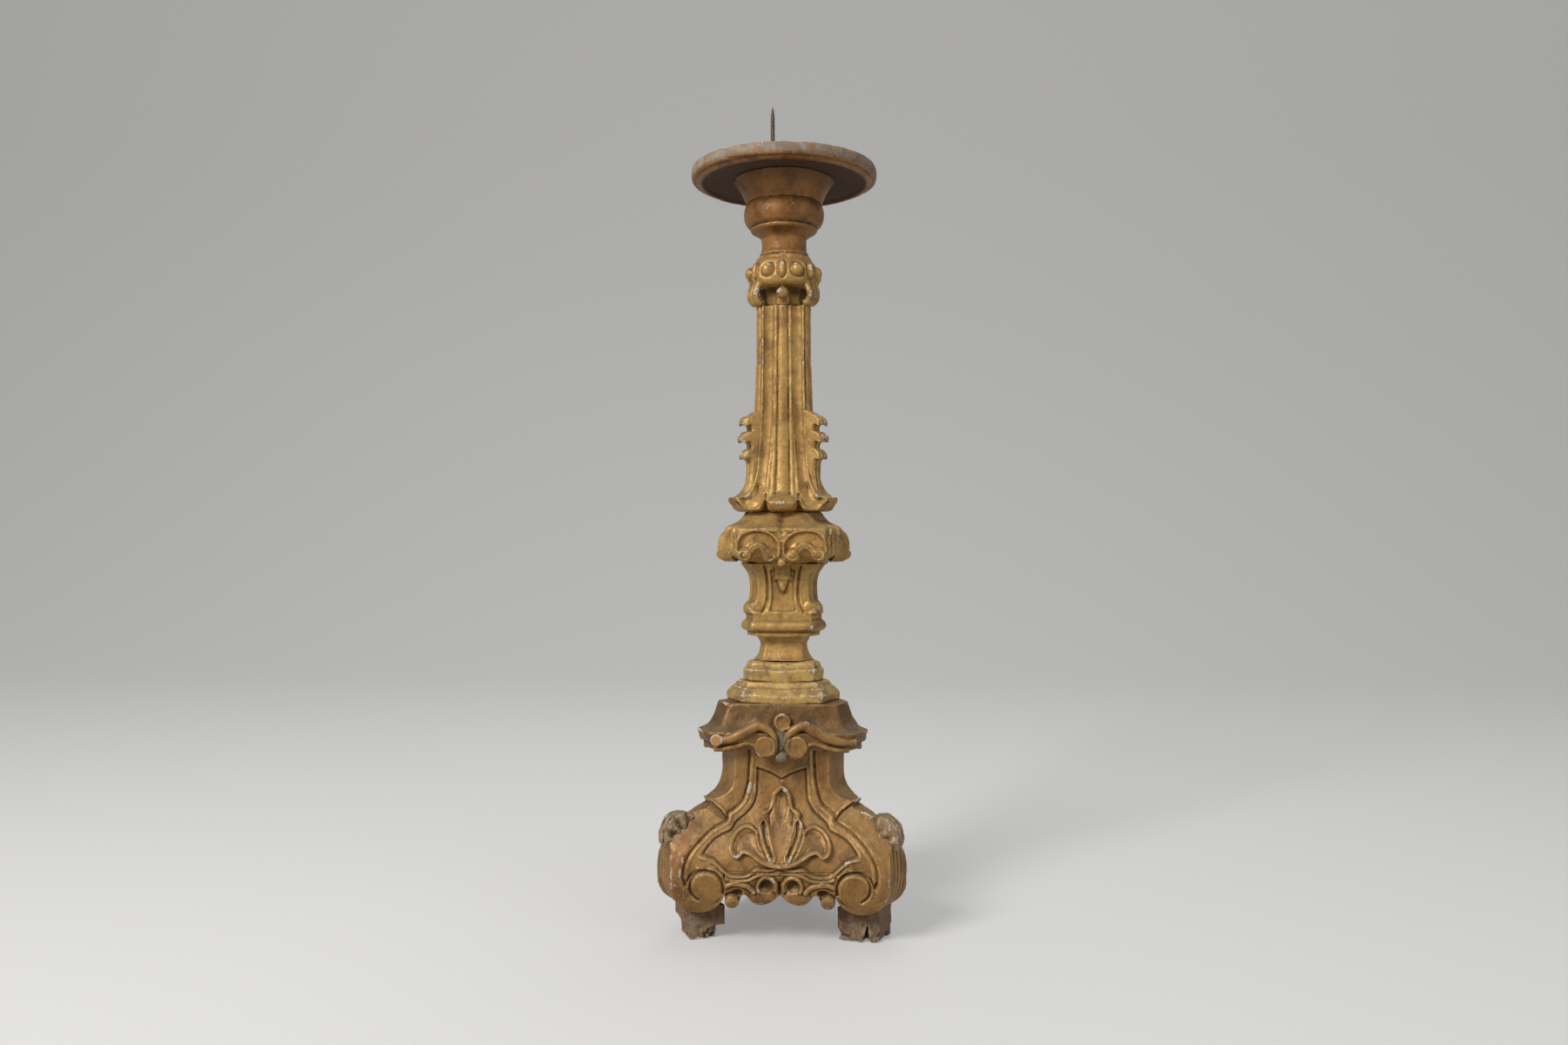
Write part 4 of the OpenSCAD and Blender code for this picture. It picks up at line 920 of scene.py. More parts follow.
@dataclass
class Base:
    """The three-sided base: panels, palmettes, aprons, scroll legs and their leaves."""

    shop: Workshop
    low_z: float = 38.2
    top_z: float = 206.0
    leg_t: float = 13.0
    seam_end: tuple = (102.5, 66.0)
    volute: tuple = (80.7, 64.0)
    volute_r: float = 19.0
    scroll: tuple = (88.0, 64.5)
    scroll_r: float = 30.0
    panel_t: float = 18.0
    flat: Points = field(init=False)
    corner: Points = field(init=False)

    def __post_init__(self) -> None:
        """Works out the profiles of the faces and the corners, and the lines of the carving."""
        self.flat = np.vstack([
            [[80, 28]], swoop([83, 38], [88, 46], [92, 58], [92, 76], 6),
            swoop([92, 76], [92, 112], [52, 128], [50, 178], 24)[1:], [[50, 206]]])
        self.corner = np.vstack([
            [[126, 28]], swoop([130, 38], [140, 46], [147, 58], [147, 76], 6),
            swoop([147, 76], [147, 118], [140, 132], [98, 143], 18)[1:],
            [[94.5, 144.0], [94.5, 146.0], [97.0, 149.5], [95.5, 151.0]],
            swoop([94, 151.6], [84, 153], [70, 158], [70, 178], 12), [[70, 206]]])
        self.outer = through([(36, 206), (36, 196), (37.3, 177), (38.5, 166), (43.5, 150), (52, 141.5), (58.5, 137),
                              (60, 130.5), (69, 125.5), (78, 120), (87, 112), (94, 104.5), (100, 95), (103.5, 85),
                              (104.2, 75), (102.5, 66)])
        self.inner = through([(27, 184), (27.5, 168), (28.5, 153), (32, 145), (37.5, 138), (49, 129), (54, 121.5),
                              (64, 117), (72.5, 112), (80, 104), (83.5, 98.5)])
        self.brow = through([(27, 184), (20, 182), (10, 178), (2.5, 173.5), (0, 172.5)])
        self.seat = through([(60.8, 58.4), (62, 67.4), (66.5, 76.4), (73.2, 80.3), (80, 80.9), (87.9, 79.8),
                             (93.5, 76.4), (98.6, 70.8), (100.3, 66), (102.5, 66)], 4)
        self.high_cord = through([(0, 88), (12.5, 83.4), (25, 84.5), (34, 78), (44, 76.6), (54, 77.5), (66.7, 88),
                                  (73, 93), (85, 95)])
        self.low_cord = through([(0, 81.5), (8, 79.5), (18, 78), (25, 77), (33, 73), (45, 72), (58, 74), (68, 81.5),
                                 (78, 84), (88, 84.5)])

    # -- the relief that panels, aprons and legs share

    def face_cuts(self) -> list:
        """The cuts that run over a whole face of the base."""
        strap = mirrored(np.vstack([[(0, 30), (60.8, 30)], self.seat, self.outer[::-1], [(0, 206)]]))
        sunk = mirrored(np.vstack([self.high_cord[:-6], self.inner[::-1], self.brow[1:]]))
        cuts = [Ground(strap, -1.4, 1.2), Ground(sunk, -2.6, 1.8)]
        for side in BOTH_SIDES:
            cuts += [Groove(side(self.outer), 1.9, 1.7), Groove(side(self.inner), 1.3, 1.3),
                     Groove(side(self.brow), 1.2, 1.2),
                     Bead(side(self.outer - [3.4, 0.8]), 2.4, 0.9),
                     Bead(side(self.high_cord), 1.7, 1.5), Bead(side(self.low_cord), 1.7, 1.4),
                     Groove(side((self.high_cord[:60] + self.low_cord[:60]) / 2), 0.7, 1.1)]
        return cuts

    def leg_cuts(self) -> list:
        """The cuts of a leg's faces: the scroll's groove, the recess beside it and the shoulder's notch."""
        spiral = arc(self.volute, 19.8, 196, -62, 15.0, 44)
        recess = np.vstack([self.seat[14:], [(104, 68), (105.3, 76), (104.2, 86), (99, 97), (92, 99), (84, 95)]])
        upper = through([(58.0, 130.0), (64, 139), (71, 144.5), (82, 151.5), (92, 157)], 4)
        lower = through([(58.5, 125.5), (66, 131.5), (75, 137.0), (83, 142.0), (92, 147)], 4)
        band = through([(63, 128), (72, 124.5), (84, 117.5), (95, 107), (103, 96), (108, 84), (109, 70), (105, 56)])
        cuts = self.face_cuts()
        for side in BOTH_SIDES:
            cuts += [
                Ground(side(recess), -1.0, 1.0),
                Groove(side(spiral), 3.2, 1.7),
                Notch(side(upper), side(lower), 3.4),
                Bead(side(upper + [0.4, 1.6]), 1.8, 0.8),
                Swell(spot(side, 92.0, 118.0), 30.0, 0.9),
                Bead(side(band), 5.5, 0.7),
            ]
        return cuts

    # -- panels

    def panel_outline(self) -> Points:
        """The outline of a panel board, within the legs' scrolls and above the apron."""
        seat = arc(self.volute, 21.5, 148, 20, steps=20)
        return mirrored(np.vstack([[(0, 81.5), (30, 81.5), (58, 81.5)], seat, self.outer[::-1][6:-8],
                                   [(37.3, 177), (36.4, 206)]]))

    def panel(self, face: Face) -> bpy.types.Object:
        """Carves a panel board."""
        blank = sawn(self.panel_outline(), -self.panel_t + 1, 0, 0.9, 0)
        blank.lay_on(self.flat, relief(self.face_cuts()), 4.0).turn(face.value).weather(11, 0.3, 0.5)
        return blank.finish(named("base_panel", face), "gilding", self.shop.base_gold,
                            knocks=[(-34, 163, 10), (0, 170, 7), (-72, 104, 12), (70, 96, 9)])

    # -- palmettes

    def palmette(self, face: Face) -> bpy.types.Object:
        """Carves a palmette: an arched lobe, two pods and two shells."""
        half = np.vstack([
            through([(0, 85), (9, 86.5), (18, 89), (27, 94.5), (33, 98.5), (39.5, 100), (45.5, 95.5), (53, 98.5),
                     (55.5, 107), (53, 116.5), (46, 124.5), (37, 128), (30, 126), (25.5, 121)], 4),
            through([(24.5, 126), (24, 130), (20, 134), (21.5, 138), (18.5, 141.5), (13.5, 143), (11.3, 151),
                     (10, 158), (5, 163.5), (0, 168)], 4)])
        outline = mirrored(half)
        shell = through([(25, 120), (30, 124), (37, 126), (45, 122.5), (51, 115), (53, 107), (51, 100.5), (45.5, 98),
                         (40, 102.5), (33, 101.5), (27, 97.5), (18, 92.5), (8, 89.5), (0, 88.5)])
        arch = through([(0, 165), (4.5, 161), (8, 157), (9.3, 151), (11, 146), (14, 141.5), (18.5, 139.5)])
        pod = through([(19.5, 134), (22, 128), (20.5, 118), (16, 106), (11, 95), (7, 93), (5.5, 97), (8, 104),
                       (11.5, 116), (15, 128), (19.5, 134)])
        frond = through([(21, 131), (24.5, 126), (26, 119), (24, 112), (20, 104)])
        bowl = np.vstack([shell[4:96], [(18, 97), (24, 108)]])
        spoon = mirrored(through([(0, 128), (4.5, 132), (6.4, 140), (6.2, 150), (4.6, 157), (0, 161)], 5))
        stem = mirrored(through([(0, 92), (3, 94), (5.5, 104), (8, 116), (9, 126), (6, 130), (0, 129)], 4))
        cuts = [Ground(spoon, -1.3, 1.2, -1.6, 5.0), Ground(stem, -0.8, 2.0)]
        for side in BOTH_SIDES:
            cuts += [
                Ground(side(bowl), -0.8, 1.2, -2.0, 8.0),
                Bead(side(shell), 2.4, 1.5), Bead(side(arch), 2.5, 1.4),
                Bead(side(pod), 1.6, 1.1),
                Groove(side(through([(18.7, 129), (17.2, 118), (13, 107), (8.8, 98)])), 3.0, 1.5),
                Bead(side(through([(16.5, 124), (15.3, 116), (12.5, 108)])), 0.8, 1.6),
                Bead(side(frond), 2.0, 1.0),
                Groove(side(through([(24.2, 120), (22.5, 112), (18.5, 103), (13, 95)])), 1.3, 1.0),
                Swell(spot(side, 18.4, 138.0), 4.4, 2.0),
                Groove(side(through([(10.5, 141), (13, 136), (12, 128)])), 1.3, 1.1),
                Groove(side(through([(28, 118), (35, 119), (42, 115)])), 0.6, 2.2),
            ]
        blank = sawn(outline, -6.0, 2.2, 0.8)
        blank.lay_on(self.flat, relief(cuts), 3.6).turn(face.value).weather(23, 0.28, 0.5)
        return blank.finish(named("palmette", face), "dark_gilding", self.shop.base_gold,
                            knocks=[(11, 96, 6), (-12, 97, 6), (20, 128, 5), (-46, 98, 6), (4, 163, 5)])

    # -- aprons

    def apron(self, face: Face) -> bpy.types.Object:
        """Carves an apron: two small C-scrolls, their lobes, and a knob at each end."""
        low = through([(0, 57.5), (3, 54.5), (8, 50), (14, 47), (21.5, 45.3), (28, 47.2), (32.5, 51.2), (35.5, 55),
                       (38.5, 56.5), (41.2, 54.5), (43.2, 50), (44.6, 45.6), (48, 42), (52, 40.8), (56.5, 42.5),
                       (59.3, 47)], 4)
        outline = mirrored(np.vstack([low, [(59.8, 58), (58.9, 81.2), (0, 81.2)]]))
        cuts = self.face_cuts() + [Swell((0, 80), 5.4, 1.6), Groove(straight(0, 58, 0, 71), 3.4, 1.5)]
        for side in BOTH_SIDES:
            cuts += [
                Swell(spot(side, 19.0, 54.0), 14.0, 3.6, 0.78),
                Swell(spot(side, 14.6, 66.4), 7.4, -4.6, 0.9), Swell(spot(side, 17.5, 62.5), 4.5, 1.8),
                Bead(side(arc((13.6, 66.5), 9.9, -30, 205, steps=36)), 2.3, 3.2),
                Bead(side(through([(58, 66), (51, 68.7), (42, 68), (34, 66), (28, 60.7)])), 2.9, 3.0),
                Swell(spot(side, 46.0, 59.0), 6.5, -4.5, 0.65),
                Swell(spot(side, 51.8, 48.8), 8.4, 4.6),
                Groove(side(arc((51.8, 48.8), 9.4, 20, 175, steps=14)), 2.2, 1.3),
                Groove(side(through([(3, 72), (8, 77), (14, 78.5), (21, 76), (25, 70)])), 1.2, 1.1),
            ]
        blank = sawn(outline, -15.0, 0, 0.85)
        blank.lay_on(self.flat, relief(cuts), 6.5).turn(face.value).weather(37, 0.3, 0.8)
        return blank.finish(named("apron", face), "gilding", self.shop.base_gold,
                            knocks=[(-22, 48, 8), (24, 47, 5), (52, 42, 6), (2, 85, 5), (-8, 74, 5), (-52, 42, 4)])

    # -- legs

    def leg_shell(self) -> Blank:
        """The corner of the base that a leg is cut from, with the corner at the front."""
        blank = Blank()
        left, right = math.radians(-150.0), math.radians(-30.0)

        def on_face(look: float, distance: Points, along: Points) -> Points:
            """Places on a face, from their distance out and along it."""
            return np.column_stack([distance * math.cos(look) - along * math.sin(look),
                                    distance * math.sin(look) + along * math.cos(look)])

        def place(u: Points, v: Points) -> Points:
            """Where the corner's skin lies, from seam to seam by u and up it by v."""
            z = self.low_z + (self.top_z - self.low_z) * v
            f, c = at_height(self.flat, z), at_height(self.corner, z)
            arris = (c - f / 2) / math.cos(math.radians(30))
            seam = np.interp(z, self.outer[::-1][:, 1], self.outer[::-1][:, 0]) + 0.4
            seam = np.where(z < self.seam_end[1], self.seam_end[0], seam)
            seam = np.minimum(seam, arris - 1.0)
            stops = [on_face(left, f, seam), on_face(left, f, arris),
                     on_face(right, f, -arris), on_face(right, f, -seam)]
            spans = [np.linalg.norm(b - a, axis=1) for a, b in zip(stops[:-1], stops[1:])]
            walk = u * sum(spans)
            xy = stops[0].copy()
            done = np.zeros_like(walk)
            for a, b, span in zip(stops[:-1], stops[1:], spans):
                share = np.clip((walk - done) / span, 0, 1)[:, None]
                xy += (b - a) * share
                done += span
            return np.column_stack([xy, z])

        blank.sheet(96, 190, place)
        bmesh.ops.recalc_face_normals(blank.mesh, faces=blank.mesh.faces)
        front_face = min(blank.mesh.faces, key=lambda face: face.calc_center_median().y)
        if front_face.normal.y > 0:
            bmesh.ops.reverse_faces(blank.mesh, faces=blank.mesh.faces)
        bmesh.ops.solidify(blank.mesh, geom=blank.mesh.faces, thickness=self.leg_t)
        bmesh.ops.recalc_face_normals(blank.mesh, faces=blank.mesh.faces)
        return blank

    def leg(self, corner: Corner) -> bpy.types.Object:
        """Carves a scroll leg with the volutes of its two faces."""
        blank = self.leg_shell()
        for side, turn in ((1, -60.0), (-1, 60.0)):
            before = set(blank.mesh.verts)
            blank.disc((side * self.scroll[0], self.scroll[1]), self.scroll_r, -15, 0.0, 1.6)
            blank.disc((side * self.volute[0], self.volute[1]), self.volute_r, -8, 0.3, 0.9)
            fresh = [v for v in blank.mesh.verts if v not in before]
            for v in fresh:
                v.co.y -= float(at_height(self.flat, np.array([v.co.z]))[0])
            bmesh.ops.rotate(blank.mesh, verts=fresh, cent=(0, 0, 0),
                             matrix=Matrix.Rotation(math.radians(turn), 3, "Z"))
        blank.fuse(0.95, 2)
        self.carve_leg_faces(blank)
        blank.turn(corner.value).weather(41, 0.35, 0.8)
        knocks = {Corner.FRONT_LEFT: [(-96, 122, 9), (-104, 110, 12), (-110, 96, 12), (-113, 80, 12), (-112, 66, 9),
                                      (-106, 54, 9), (-98, 131, 7), (-112, 152, 7)],
                  Corner.FRONT_RIGHT: [(84, 154, 9), (93, 141, 9), (118, 72, 8), (112, 54, 7)]}
        return blank.finish(named("scroll_leg", corner), "gilding", self.shop.base_gold,
                            knocks=knocks.get(corner, ()))

    def carve_leg_faces(self, blank: Blank) -> None:
        """Cuts the relief of both faces of a leg, and the hollow of its corner."""
        height = relief(self.leg_cuts())
        co, n = blank.places, blank.normals
        for look in (-150.0, -30.0):
            out, along = outward(look)
            depth = co[:, :2] @ out
            facing = n[:, :2] @ out
            front = ease((facing - 0.35) / 0.4) * ease((depth - at_height(self.flat, co[:, 2]) + 7) / 3)
            pick = front > 0
            moved = height(co[pick, :2] @ along, co[pick, 2]) * front[pick]
            co[pick, :2] += out * moved[:, None]
        down = (n[:, 1] < -0.6) & (co[:, 2] < 112)
        ribs = relief([Groove(straight(x, 40.0, x * 1.05, 104.0), 1.2, 2.2) for x in (-7.5, 0.0, 7.5)]
                      + [Groove(straight(x, 40.0, x, 104.0), 0.8, 2.0) for x in (-14.0, 14.0)])
        co[down, 1] -= ribs(co[down, 0], co[down, 2]) * ease((110 - co[down, 2]) / 8)
        blank.places = co

    def leaf(self, corner: Corner, seed: int) -> bpy.types.Object:
        """Carves the worn leaf knob on a knee: a lump with three flutes that curls off the corner."""
        half_w = 12.4
        side_view = through([(146, 102.5), (149.6, 105), (151.2, 110), (151.2, 117.5), (149.2, 125), (145, 132),
                             (139.5, 137), (132, 139.6), (122, 138.6), (116, 134), (126, 126), (134, 115),
                             (140, 104), (146, 102.5)], 5)[:-1]
        blank = sawn(side_view, -half_w, half_w, 0.85, 3, edge_on=True)
        co = blank.places
        ends = np.abs(co[:, 2] - 121.0) / 19.0
        co[:, 0] *= 1.0 - 0.22 * np.clip(ends, 0, 1) ** 2
        flutes = relief([Groove(through([(x * 0.5, 101), (x, 112), (x * 1.1, 124), (x * 0.9, 141)]), 2.8, 1.5)
                         for x in (-4.4, 4.4)])
        round_off = 4.5 * np.clip(np.abs(co[:, 0]) / half_w, 0, 1) ** 3
        out = ease((-co[:, 1] - 124.0) / 8.0)
        co[:, 1] += (round_off - flutes(co[:, 0], co[:, 2])) * out
        fan = np.arctan2(co[:, 2] - 106.0, -co[:, 1] - 118.0)
        reach = ease((np.hypot(co[:, 2] - 106.0, co[:, 1] + 118.0) - 8.0) / 12.0)
        co[:, 0] *= 1.0 - 0.26 * (0.5 + 0.5 * np.cos(fan * 13.0)) * reach * ease((np.abs(co[:, 0]) - 5.0) / 5.0)
        blank.places = co
        blank.turn(corner.value).weather(seed, 1.3, 2.4)
        return blank.finish(named("leg_leaf", corner), "dark_gilding", self.shop.worn_gold,
                            {"knock": 0.7 * lattice(blank.places, 7.0, seed),
                             "dusted": 0.25 * lattice(blank.places, 16.0, seed)})

    def build(self) -> None:
        """Carves every piece of the base."""
        for face in Face:
            self.panel(face)
            self.palmette(face)
            self.apron(face)
        for corner, seed in zip(Corner, (53, 191, 193)):
            self.leg(corner)
            self.leaf(corner, seed)


@dataclass
class Feet:
    """The three worn block feet."""

    shop: Workshop
    height: float = 38.0
    inner: float = 85.0
    outer: float = 126.0
    half_width: float = 24.0
    worn_front: float = -68.5

    def foot(self, corner: Corner, seed: int) -> bpy.types.Object:
        """Cuts a foot, splits it and wears it away from below.

        Args:
            corner: The corner that it stands under.
            seed: Picks its own pattern of wear.
        """
        blank = Blank()
        w, h = self.half_width, self.height
        if corner is Corner.FRONT_LEFT:
            blank.board(np.array([(-w, 21), (-w, h - 0.3), (w, h - 0.3), (w, 16), (w - 4, 15)], float),
                        self.inner, self.outer - 2)
            blank.board(np.array([(-w + 9, 0.6), (-w + 7, 26), (w - 5, 26), (w - 6, 9), (w - 8, 0.6)], float),
                        self.inner + 7, self.outer - 5)
        else:
            blank.board(np.array([(-w + 1, 1.2), (-w, 14), (-w, h - 0.3), (w, h - 0.3), (w, 13), (w - 1, 1.2)], float),
                        self.inner, self.outer)
        blank.fuse(1.0, 1)
        co = blank.places
        low = ease((17 - co[:, 2]) / 12)
        eaten = np.clip(lattice(co, 8.0, seed) + 0.6 * lattice(co, 3.5, seed + 1) - 0.05, 0, 1)
        centre = np.array([0.0, -(self.inner + self.outer) / 2])
        inward = centre - co[:, :2]
        inward /= np.linalg.norm(inward, axis=1)[:, None] + 1e-9
        co[:, :2] += inward * (low * (0.8 + 4.0 * eaten))[:, None]
        floor = co[:, 2] < 5
        co[floor, 2] += 4.5 * np.clip(lattice(co[floor], 6.0, seed + 2) + 0.4 * lattice(co[floor], 3.0, seed + 3), 0, 1)
        blank.places = co
        blank.turn(corner.value)
        co = blank.places
        if corner is not Corner.BACK:
            bowed = 0.12 * np.abs(co[:, 0] + 94 * np.sign(-co[:, 0]))
            co[:, 1] = np.maximum(co[:, 1], self.worn_front + bowed + 1.2 * lattice(co, 9.0, seed + 4))
        if corner is Corner.FRONT_RIGHT:
            co[:, 1] += self.crack(co) * (co[:, 1] < -52)
        blank.places = co
        blank.weather(seed, 0.55, 1.3)
        co = blank.places
        co[:, 2] = np.maximum(co[:, 2], 0.05)
        blank.places = co
        return blank.finish(named("foot", corner), "worn_foot_wood", self.shop.foot_wood)

    def crack(self, co: Points) -> Points:
        """How far the front right foot is split open from below, near its front corner."""
        off = co[:, 0] - 92.5 - 0.10 * co[:, 2]
        wide = 4.8 * np.clip(1.0 - co[:, 2] / 20.0, 0, 1) + 0.3
        return 13.0 * np.clip(1 - np.abs(off) / wide, 0, 1) * ease((18.5 - co[:, 2]) / 3.0)

    def build(self) -> None:
        """Cuts the three feet."""
        for corner, seed in zip(Corner, (61, 67, 71)):
            self.foot(corner, seed)


@dataclass
class Roof:
    """The roof over the base with its curled rolls, and the two plinths on it."""

    shop: Workshop
    volute: tuple = (16.6, 211.0)
    stump: tuple = (-70.8, 218.0)

    def cap(self) -> bpy.types.Object:
        """Carves the solid of the roof, hollow on its faces and flared at its corners."""
        flat = np.vstack([[[60, 206.2], [60, 213.5], [66, 215]],
                          swoop([66, 226], [57, 228], [56, 241], [51, 255.8], 8)])
        corner = np.vstack([[[96, 206.2], [96, 213.5], [98.5, 215], [100.5, 221], [103.2, 225.5]],
                            swoop([102.5, 227], [86, 227.5], [83, 238], [77, 255.8], 10)])
        hollows = relief([Swell((0, 228), 13.0, -2.0, 1.6), Swell((46, 240), 17.0, -1.2, 0.8),
                          Swell((-46, 240), 17.0, -1.2, 0.8)])
        blank = Tower(flat, corner, 300, 1.0, 30.0, hollows).carve()
        blank.fuse(1.1, 2).weather(83, 0.5, 1.2)
        return blank.finish("roof_cap", "dark_gilding", self.shop.dark_gold,
                            knocks=[(-92, 222, 9), (94, 220, 8), (-62, 256, 6)])

    def scrolls(self, face: Face, seed: int) -> bpy.types.Object:
        """Carves the ornament of one side: two volutes, two long rolls, a cup and a drop."""
        blank = Blank()
        cx, cz = self.volute
        for side in (1, -1):
            broken = face is Face.FRONT and side < 0
            far = 82.0 if face is Face.FRONT else 75.0
            ends = [(66.5, -63.6, 217.2, 4.8)] if broken else [(68.0, -63.3, 216.6, 4.9), (far, -59.5, 216.6, 4.0)]
            spine = [(12.5, -66.5, 200.8, 2.0), (7.5, -67.5, 206.5, 2.8), (6.2, -67.5, 215.5, 3.4),
                     (8.8, -67.0, 224.5, 4.0), (15.5, -66.3, 231.0, 4.8), (25.9, -65.4, 233.8, 5.6),
                     (39.3, -65.0, 226.9, 6.6), (52.6, -65.0, 220.4, 5.7)] + ends
            line = through([(side * x, y, z) for x, y, z, _ in spine])
            radii = through([(r, 0.0) for *_, r in spine])[:, 0]
            blank.tube(line, radii, 18)
            blank.disc((side * cx, cz), 12.2, 48.0, 68.4, 1.0)
            under = through([(side * 27.0, -62.0, 211.5), (side * 36.0, -62.5, 215.0), (side * 50.0, -62.0, 210.5),
                             (side * 62.0, -60.8, 207.6), (side * 74.0, -56.0, 206.8)])
            blank.tube(under, 3.4, 12)
            back = through([(side * 20, -58.0, 224.0), (side * 40, -58.5, 217.0), (side * 72, -56.0, 211.0)])
            blank.tube(back, 5.0, 12)
        if face is Face.FRONT:
            blank.disc(self.stump, 6.4, 50.0, 68.6, 0.8)
        blank.disc((1.4, 238.0), 9.3, 46.0, 66.5, 1.4)
        neck = through([(1.2, -60.0, 232.0), (0.8, -61.0, 225.0), (0.3, -62.0, 216.0), (0.0, -62.5, 207.0)])
        blank.tube(neck, np.interp(np.linspace(0, 1, len(neck)), [0, 0.4, 1], [6.5, 4.2, 3.4]), 16)
        blank.ball((1.0, -63.0, 198.6), (7.0, 6.0, 7.0))
        blank.fuse(0.8, 1)
        co, n = blank.places, blank.normals
        front = ease((-n[:, 1] - 0.25) / 0.4) * ease((-co[:, 1] - 60.0) / 3.0)
        cuts = [Swell((2.0, 237.4), 7.2, -2.2, 1.1)]
        for side in (1, -1):
            crest = arc((side * cx, cz), 12.6, 90 - side * 10, 90 + side * 190, 11.4, 34)
            cuts += [Groove(crest, 1.9, 1.1), Swell((side * cx, cz), 11.0, -0.7)]
        co[:, 1] -= relief(cuts)(co[:, 0], co[:, 2]) * front
        blank.places = co
        stump = np.hypot(co[:, 0] - self.stump[0], co[:, 2] - self.stump[1])
        open_wood = np.clip((7.4 - stump) / 5.0, 0, 1) * (co[:, 1] < -60) * float(face is Face.FRONT)
        valley = np.exp(-(co[:, 0] / 7.0) ** 2) * (co[:, 2] < 228)
        blank.turn(face.value).weather(seed, 0.35, 0.8)
        return blank.finish(named("roof_scrolls", face), "gilding", self.shop.base_gold,
                            {"open_wood": open_wood, "dusted": valley},
                            knocks=[(-27, 203, 6), (-7, 202, 5), (28, 238, 6), (-76, 214, 6), (1.4, 246, 5)])

    def plinth_lower(self) -> bpy.types.Object:
        """Planes the lower plinth with its moulded edge."""
        flat = np.array([[47.5, 256.2], [48.6, 257.6], [48.8, 264.4], [46.6, 267.4], [43.6, 270.4], [43.0, 271.4],
                         [41.0, 272.0], [39.2, 274.4], [37.6, 277.8]])
        return self.plinth("plinth_lower", flat, 15.0, 89,
                           [(36, 270, 12), (44, 266, 9), (16, 271, 9), (-38, 266, 11), (2, 264, 8), (-50, 272, 9)])

    def plinth_upper(self) -> bpy.types.Object:
        """Planes the upper plinth with its moulded edge."""
        flat = np.array([[31.6, 278.2], [32.4, 279], [32.6, 290.4], [31.8, 291.6], [29.6, 292.2], [29.8, 295.6],
                         [28.6, 298.0], [26.8, 299.8]])
        return self.plinth("plinth_upper", flat, 15.0, 97, [(34, 290, 8), (-36, 289, 6), (0, 291, 6)])

    def plinth(self, node: str, flat: Points, out: float, seed: int, knocks: Sequence) -> bpy.types.Object:
        """A block with cut corners and bowed sides, from the profile of its faces.

        Args:
            node: The node that it stands for.
            flat: The profile of its faces.
            out: How much farther out its corners lie.
            seed: Picks its own pattern of wear.
            knocks: Where it is knocked bare.
        """
        half = flat[0, 0]

        def bow(x: Points, z: Points) -> Points:
            """How far a side bows out."""
            return 2.2 * np.clip(1 - (x / half) ** 2, 0, 1)

        blank = Tower(flat, flat + [out, 0], 280, 0.8, 70.0, bow).carve()
        co = blank.places
        look = np.arctan2(co[:, 1], co[:, 0])
        sag = 1.8 * np.clip(np.cos(3 * (look + math.pi / 2)), 0, 1)
        co[:, 2] -= sag * np.clip(np.hypot(co[:, 0], co[:, 1]) / half, 0, 1) ** 4
        blank.places = co
        blank.fuse(0.85, 1).weather(seed, 0.45, 1.3)
        return blank.finish(node, "gilding", self.shop.pale_gold, knocks=knocks)

    def build(self) -> None:
        """Makes every piece of the roof."""
        self.cap()
        for face, seed in zip(Face, (101, 103, 107)):
            self.scrolls(face, seed)
        self.plinth_lower()
        self.plinth_upper()


